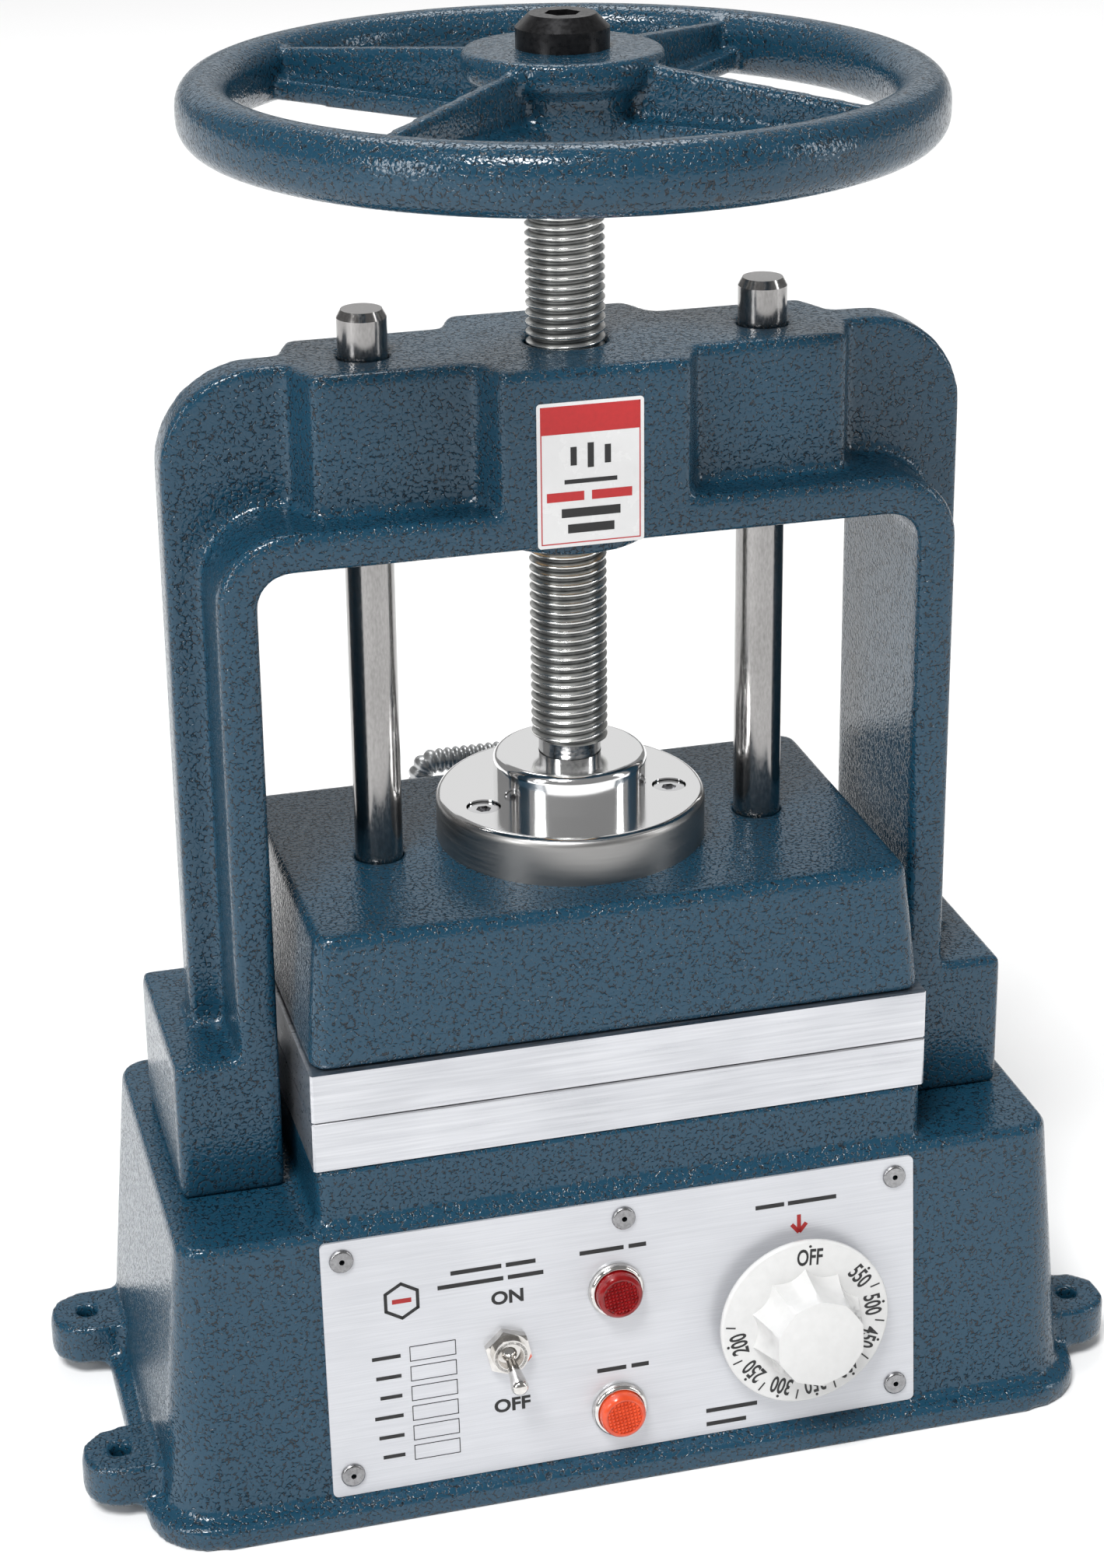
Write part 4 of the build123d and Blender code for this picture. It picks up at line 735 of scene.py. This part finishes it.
@dataclass
class HeatDial:
    """The dial: a flat skirt with printed figures and a scalloped, tapering grip."""

    across: float = 57.3
    up: float = 49.5
    skirt: float = 29.45
    face: float = 15.2
    foot: float = 19.8
    front: float = 23.9
    scallops: int = 10
    figures: tuple[tuple[str, float], ...] = (("OFF", 4.0), ("550", 54.0), ("500", 83.5), ("450", 113.0), ("400", 143.0),
                                              ("350", 172.5), ("300", 202.0), ("250", 231.0), ("200", 260.0))
    ticks: tuple[float, ...] = (68.5, 98.0, 128.0, 158.0, 187.5, 217.0, 246.0, 275.0)

    def grip(self, bm: bmesh.types.BMesh) -> None:
        """Adds the grip.

        Args:
            bm: The mesh that takes it.
        """
        own = bmesh.new()
        levels = 14
        ring = bmesh.ops.create_circle(own, cap_ends=False, segments=self.scallops * 12, radius=MM)["verts"]
        edges = list({e for v in ring for e in v.link_edges})
        rings = [ring]
        for _ in range(levels):
            grown = bmesh.ops.extrude_edge_only(own, edges=edges)["geom"]
            ring = [v for v in grown if isinstance(v, bmesh.types.BMVert)]
            edges = [e for e in grown if isinstance(e, bmesh.types.BMEdge) and all(v in ring for v in e.verts)]
            rings.append(ring)
        for level, ring in enumerate(rings):
            along = level / levels
            height = 7.6 + (self.front - 7.6) * min(1.0, along * 1.06)
            radius = self.foot + (self.face - self.foot) * min(1.0, along * 1.06) ** 0.85
            if along > 0.94:
                radius -= 0.7 * (along - 0.94) / 0.06
            depth = 0.02 + 0.13 * max(0.0, 1.0 - along) ** 0.8
            for vert in ring:
                turn = math.atan2(vert.co.y, vert.co.x)
                dip = abs(math.cos(self.scallops * turn / 2)) ** 0.8
                reach = radius * (1.0 - depth * dip)
                vert.co = Vector((math.cos(turn) * reach, math.sin(turn) * reach, height)) * MM
        bmesh.ops.holes_fill(own, edges=own.edges, sides=0)
        recalculated(own)
        join(bm, own, panel_matrix(self.across, self.up, 0.0))

    def around(self, angle: float, radius: float, w: float) -> Matrix:
        """A place on the skirt, with y pointing outwards.

        Args:
            angle: Clockwise from the top, in degrees.
            radius: Distance from the dial's axis, in mm.
            w: Distance off the panel, in mm.

        Returns:
            The matrix from the mark to the row frame.
        """
        turn = Matrix.Rotation(math.radians(-angle), 4, "Z")
        return panel_matrix(self.across, self.up, w) @ turn @ Matrix.Translation((0, radius * MM, 0))

    def build(self) -> None:
        """Makes the dial and its printing."""
        bm = bmesh.new()
        lathed(bm, [(0, 5.5), (self.skirt - 0.4, 5.5), (self.skirt, 5.9), (self.skirt, 7.3), (self.skirt - 0.3, 7.8),
                    (self.skirt - 0.9, 8.0), (0, 8.0)], 120, panel_matrix(self.across, self.up, 0.0))
        self.grip(bm)
        finished("heat_dial_moulding", bm, Body.DIAL, DIAL_WHITE, ("heat_dial",), smooth=50.0)
        bm = bmesh.new()
        for words, angle in self.figures:
            lettering(bm, words, 5.6, self.around(angle, 23.5, 8.04), 0.64, 0.16)
            mark = bmesh.new()
            bmesh.ops.create_cone(mark, cap_ends=True, segments=12, radius1=0.5 * MM, radius2=0.5 * MM, depth=0.06 * MM)
            join(bm, mark, self.around(angle, 27.7, 8.04))
        for angle in self.ticks:
            plate_mark(bm, 0.5, 3.4, self.around(angle, 26.4, 8.04), -6)
        finished("heat_dial_figures", bm, Body.DIAL, DIAL_INK)


@dataclass
class PanelPrint:
    """What is printed on the panel: plain bars for its legends, on and off, and the dial's arrow."""

    face: float = 1.03
    rows: int = 6
    first_row: float = 57.5
    row_step: float = 7.2

    def build(self) -> None:
        """Makes the black and the red printing."""
        bm = bmesh.new()
        lettering(bm, "ON", 4.4, panel_matrix(-42.8, 72.3, self.face), 1.1)
        lettering(bm, "OFF", 4.4, panel_matrix(-42.7, 33.0, self.face), 1.1)
        for width, u, v in ((15.0, -10.6, 83.9), (6.0, 1.6, 83.9), (10.0, -8.4, 40.1), (6.0, 1.4, 40.1),
                            (10.0, 47.6, 90.4), (17.0, 62.4, 90.4), (17.0, -53.0, 84.0), (10.0, -38.0, 84.0),
                            (22.0, -55.0, 79.5), (12.0, -36.5, 79.5), (18.0, 33.0, 18.5), (14.0, 31.0, 13.5)):
            plate_mark(bm, width, 1.5, panel_matrix(u, v, self.face))
        for row in range(self.rows):
            v = self.first_row - self.row_step * row
            plate_mark(bm, 9.5 - 1.1 * (row % 3), 1.3, panel_matrix(-84.0 + 0.5 * (row % 3), v, self.face))
            for dv in (-2.6, 2.6):
                plate_mark(bm, 15.4, 0.28, panel_matrix(-68.5, v + dv, self.face))
            for du in (-7.6, 7.6):
                plate_mark(bm, 0.28, 5.4, panel_matrix(-68.5 + du, v, self.face))
        for side in range(6):
            turn = math.radians(60.0 * side)
            spot = panel_matrix(-78.0 + 5.3 * math.cos(turn), 77.0 + 5.3 * math.sin(turn), self.face)
            plate_mark(bm, 1.1, 6.7, spot, 60.0 * side)
        finished("panel_black_print", bm, Body.BASE, BLACK_INK)
        bm = bmesh.new()
        plate_mark(bm, 1.4, 6.3, panel_matrix(57.7, 82.6, self.face))
        plate_mark(bm, 1.4, 4.0, panel_matrix(56.4, 80.9, self.face), 40)
        plate_mark(bm, 1.4, 4.0, panel_matrix(59.0, 80.9, self.face), -40)
        plate_mark(bm, 6.4, 1.6, panel_matrix(-78.0, 77.0, self.face))
        finished("panel_red_print", bm, Body.BASE, RED_INK)


@dataclass
class YokeLabel:
    """The film on the yoke's boss: a red band, a red frame and plain bars."""

    middle: tuple[float, float] = (-2.4, 339.5)
    size: tuple[float, float] = (34.4, 47.0)
    face: float = -37.32

    def place(self, x: float, z: float) -> Matrix:
        """A place on the label, measured from its middle, in mm."""
        spot = Vector((self.middle[0] + x, self.face, self.middle[1] + z)) * MM
        return Matrix.Translation(spot) @ Matrix.Rotation(math.pi / 2, 4, "X")

    def build(self) -> None:
        """Makes the red and the black printing."""
        wide, high = self.size
        bm = bmesh.new()
        plate_mark(bm, wide - 3.0, 8.6, self.place(0, high / 2 - 5.8))
        for z in (high / 2 - 1.3, -high / 2 + 1.3):
            plate_mark(bm, wide - 2.4, 0.35, self.place(0, z))
        for x in (-wide / 2 + 1.3, wide / 2 - 1.3):
            plate_mark(bm, 0.35, high - 2.4, self.place(x, 0))
        for width, x in ((12.0, -8.2), (13.0, 6.8)):
            plate_mark(bm, width, 3.0, self.place(x, -7.0))
        finished("label_red_print", bm, Body.BASE, LABEL_RED)
        bm = bmesh.new()
        plate_mark(bm, 17.0, 1.4, self.place(0, -2.2))
        for step in range(3):
            plate_mark(bm, 2.0, 8.0 - 2.0 * abs(step - 1), self.place(-5.5 + 5.5 * step, 6.0))
        plate_mark(bm, 19.0, 2.9, self.place(0, -12.4))
        plate_mark(bm, 15.0, 2.9, self.place(0, -17.6))
        finished("label_black_print", bm, Body.BASE, LABEL_BLACK)


@dataclass
class RibbedConduit:
    """The flexible metal conduit that feeds the upper heater: a corrugated tube bent round its route."""

    radius: float = 4.55
    rib: float = 1.1
    spacing: float = 3.0
    route: tuple[tuple[float, float, float], ...] = ((-32, 74.7, 66), (-32, 80, 66), (-32, 88, 66), (-32, 88, 80),
                                                     (-32, 88, 180), (-32, 88, 194), (-20, 88, 194), (-4, 88, 194),
                                                     (8, 88, 194), (8, 80, 194), (8, 71.6, 194))

    def build(self) -> None:
        """Makes the tube along its route, stretching between the base and the block."""
        line = bpy.data.curves.new("conduit_route", "CURVE")
        line.dimensions = "3D"
        line.resolution_u = 16
        spline = line.splines.new("NURBS")
        spline.points.add(len(self.route) - 1)
        for point, spot in zip(spline.points, self.route):
            point.co = (*(Vector(spot) * MM), 1.0)
        spline.order_u = 3
        spline.use_endpoint_u = True
        guide = bpy.data.objects.new("conduit_route", line)
        bpy.context.scene.collection.objects.link(guide)
        length = spline.calc_length() / MM
        bm = bmesh.new()
        bmesh.ops.create_circle(bm, cap_ends=False, segments=24, radius=self.radius * MM)
        bmesh.ops.rotate(bm, verts=bm.verts, cent=(0, 0, 0), matrix=Matrix.Rotation(math.pi / 2, 3, "Y"))
        edges = bm.edges[:]
        steps = int(length / self.spacing) * 6
        for step in range(steps):
            grown = bmesh.ops.extrude_edge_only(bm, edges=edges)["geom"]
            verts = [v for v in grown if isinstance(v, bmesh.types.BMVert)]
            edges = [e for e in grown if isinstance(e, bmesh.types.BMEdge) and all(v in verts for v in e.verts)]
            reach = self.radius - self.rib * (1.0 - abs(math.sin(math.pi * (step + 1) / 6)))
            for vert in verts:
                out = Vector((0, vert.co.y, vert.co.z)).normalized() * reach * MM
                vert.co = Vector((length * MM * (step + 1) / steps, out.y, out.z))
        recalculated(bm)
        mesh = bpy.data.meshes.new("conduit_straight")
        bm.to_mesh(mesh)
        bm.free()
        tube = bpy.data.objects.new("conduit_straight", mesh)
        bpy.context.scene.collection.objects.link(tube)
        bend = tube.modifiers.new("route", "CURVE")
        bend.object = guide
        bpy.context.view_layer.update()
        made = bpy.data.meshes.new_from_object(tube.evaluated_get(bpy.context.evaluated_depsgraph_get()))
        bm = bmesh.new()
        bm.from_mesh(made)
        bpy.data.objects.remove(tube)
        bpy.data.objects.remove(guide)
        name = "conduit_ribbed"
        mesh = bpy.data.meshes.new(name)
        bm.to_mesh(mesh)
        bm.free()
        piece = bpy.data.objects.new(name, mesh)
        bpy.context.scene.collection.objects.link(piece)
        mesh.shade_smooth()
        mesh.materials.append(ZINC.material())
        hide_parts("conduit")
        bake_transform(piece)
        log.info("piece %s: %.1f mm long", name, length)


# --------------------------------------------------------------------------- studio
@dataclass
class Studio:
    """Pale floor, soft lights and the camera."""

    place: tuple[float, float, float] = (-0.2566, -0.9482, 0.6478)
    azimuth: float = -15.21
    elevation: float = 20.90
    roll: float = -0.56
    lens: float = 73.6
    shift: tuple[float, float] = (-0.0128, -0.0966)
    sun_power: float = 2.85
    sun_width: float = 20.0
    sun_from: tuple[float, float, float] = (-0.55, -0.75, 1.5)

    def camera(self) -> None:
        """Stands the camera."""
        turn, tip = math.radians(self.azimuth), math.radians(self.elevation)
        back = Vector((math.sin(turn) * math.cos(tip), -math.cos(turn) * math.cos(tip), math.sin(tip)))
        right = (-back).cross(Vector((0, 0, 1))).normalized()
        up = right.cross(-back).normalized()
        bank = math.radians(self.roll)
        across = right * math.cos(bank) + up * math.sin(bank)
        over = up * math.cos(bank) - right * math.sin(bank)
        rows = [(across[i], over[i], back[i], self.place[i]) for i in range(3)]
        data = bpy.data.cameras.new("camera")
        data.lens = self.lens
        data.sensor_width = 36.0
        data.sensor_fit = "AUTO"
        data.shift_x, data.shift_y = self.shift
        data.clip_end = 100.0
        camera = bpy.data.objects.new("camera", data)
        camera.matrix_world = Matrix((*rows, (0, 0, 0, 1)))
        bpy.context.scene.collection.objects.link(camera)
        bpy.context.scene.camera = camera

    def lamp(self, name: str, place: tuple[float, float, float], aim: tuple[float, float, float], size: tuple[float, float],
             power: float) -> None:
        """Adds a soft area light.

        Args:
            name: The light's name.
            place: Where it stands, in metres.
            aim: The point it faces.
            size: Width and height, in metres.
            power: Its power, in watts.
        """
        data = bpy.data.lights.new(name, "AREA")
        data.shape = "RECTANGLE"
        data.size, data.size_y = size
        data.energy = power
        light = bpy.data.objects.new(name, data)
        light.location = place
        light.rotation_euler = (Vector(aim) - Vector(place)).to_track_quat("-Z", "Y").to_euler()
        bpy.context.scene.collection.objects.link(light)

    def daylight(self) -> None:
        """Adds one very wide, soft sun, which lights the floor evenly out to the horizon."""
        data = bpy.data.lights.new("daylight", "SUN")
        data.energy = self.sun_power
        data.angle = math.radians(self.sun_width)
        light = bpy.data.objects.new("daylight", data)
        light.rotation_euler = Vector(self.sun_from).to_track_quat("Z", "Y").to_euler()
        bpy.context.scene.collection.objects.link(light)

    def floor(self) -> None:
        """Lays the floor."""
        bm = bmesh.new()
        bmesh.ops.create_grid(bm, x_segments=2, y_segments=2, size=14.0)
        mesh = bpy.data.meshes.new("studio_floor")
        bm.to_mesh(mesh)
        bm.free()
        floor = bpy.data.objects.new("studio_floor", mesh)
        bpy.context.scene.collection.objects.link(floor)
        graph = Graph("studio_floor")
        graph.set(Base_Color=(0.93, 0.93, 0.93, 1.0), Roughness=0.75)
        mesh.materials.append(graph.material)

    def build(self) -> None:
        """Sets up the whole studio."""
        scene = bpy.context.scene
        scene.view_settings.view_transform = "Standard"
        world = bpy.data.worlds.new("studio")
        world.use_nodes = True
        world.node_tree.nodes["Background"].inputs["Color"].default_value = (1.0, 1.0, 1.0, 1.0)
        world.node_tree.nodes["Background"].inputs["Strength"].default_value = 0.24
        scene.world = world
        self.camera()
        self.floor()
        self.daylight()
        self.lamp("left_box", (-1.6, -0.9, 0.9), (0, 0, 0.25), (0.4, 1.1), 12.0)
        self.lamp("right_strip", (1.7, -0.8, 0.9), (0, 0, 0.25), (0.25, 1.3), 7.0)
        self.lamp("top_box", (0.1, 0.9, 1.9), (0, 0, 0.2), (1.0, 0.6), 10.0)
        self.lamp("back_wall", (0.35, 2.3, 1.35), (0, 0, 0.25), (3.0, 1.3), 6.5)


def main() -> None:
    """Builds the press from the bench up."""
    logging.basicConfig(level=logging.INFO, format="%(message)s")
    Studio().build()
    dress_carried()
    Casting("base_housing", Body.BASE, 1.5, 6).build()
    Casting("press_yoke", Body.BASE, 1.25, 18).build()
    Casting("upper_block", Body.CARRIAGE, 1.4, 7).build()
    Casting("handwheel", Body.SCREW, 1.0, 12).build()
    PressScrew().build()
    ToggleSwitch().build()
    PilotLamp("power", 69.2, RED_LENS).build()
    PilotLamp("heat", 25.2, AMBER_LENS).build()
    HeatDial().build()
    PanelPrint().build()
    YokeLabel().build()
    RibbedConduit().build()


if __name__ == "__main__":
    main()
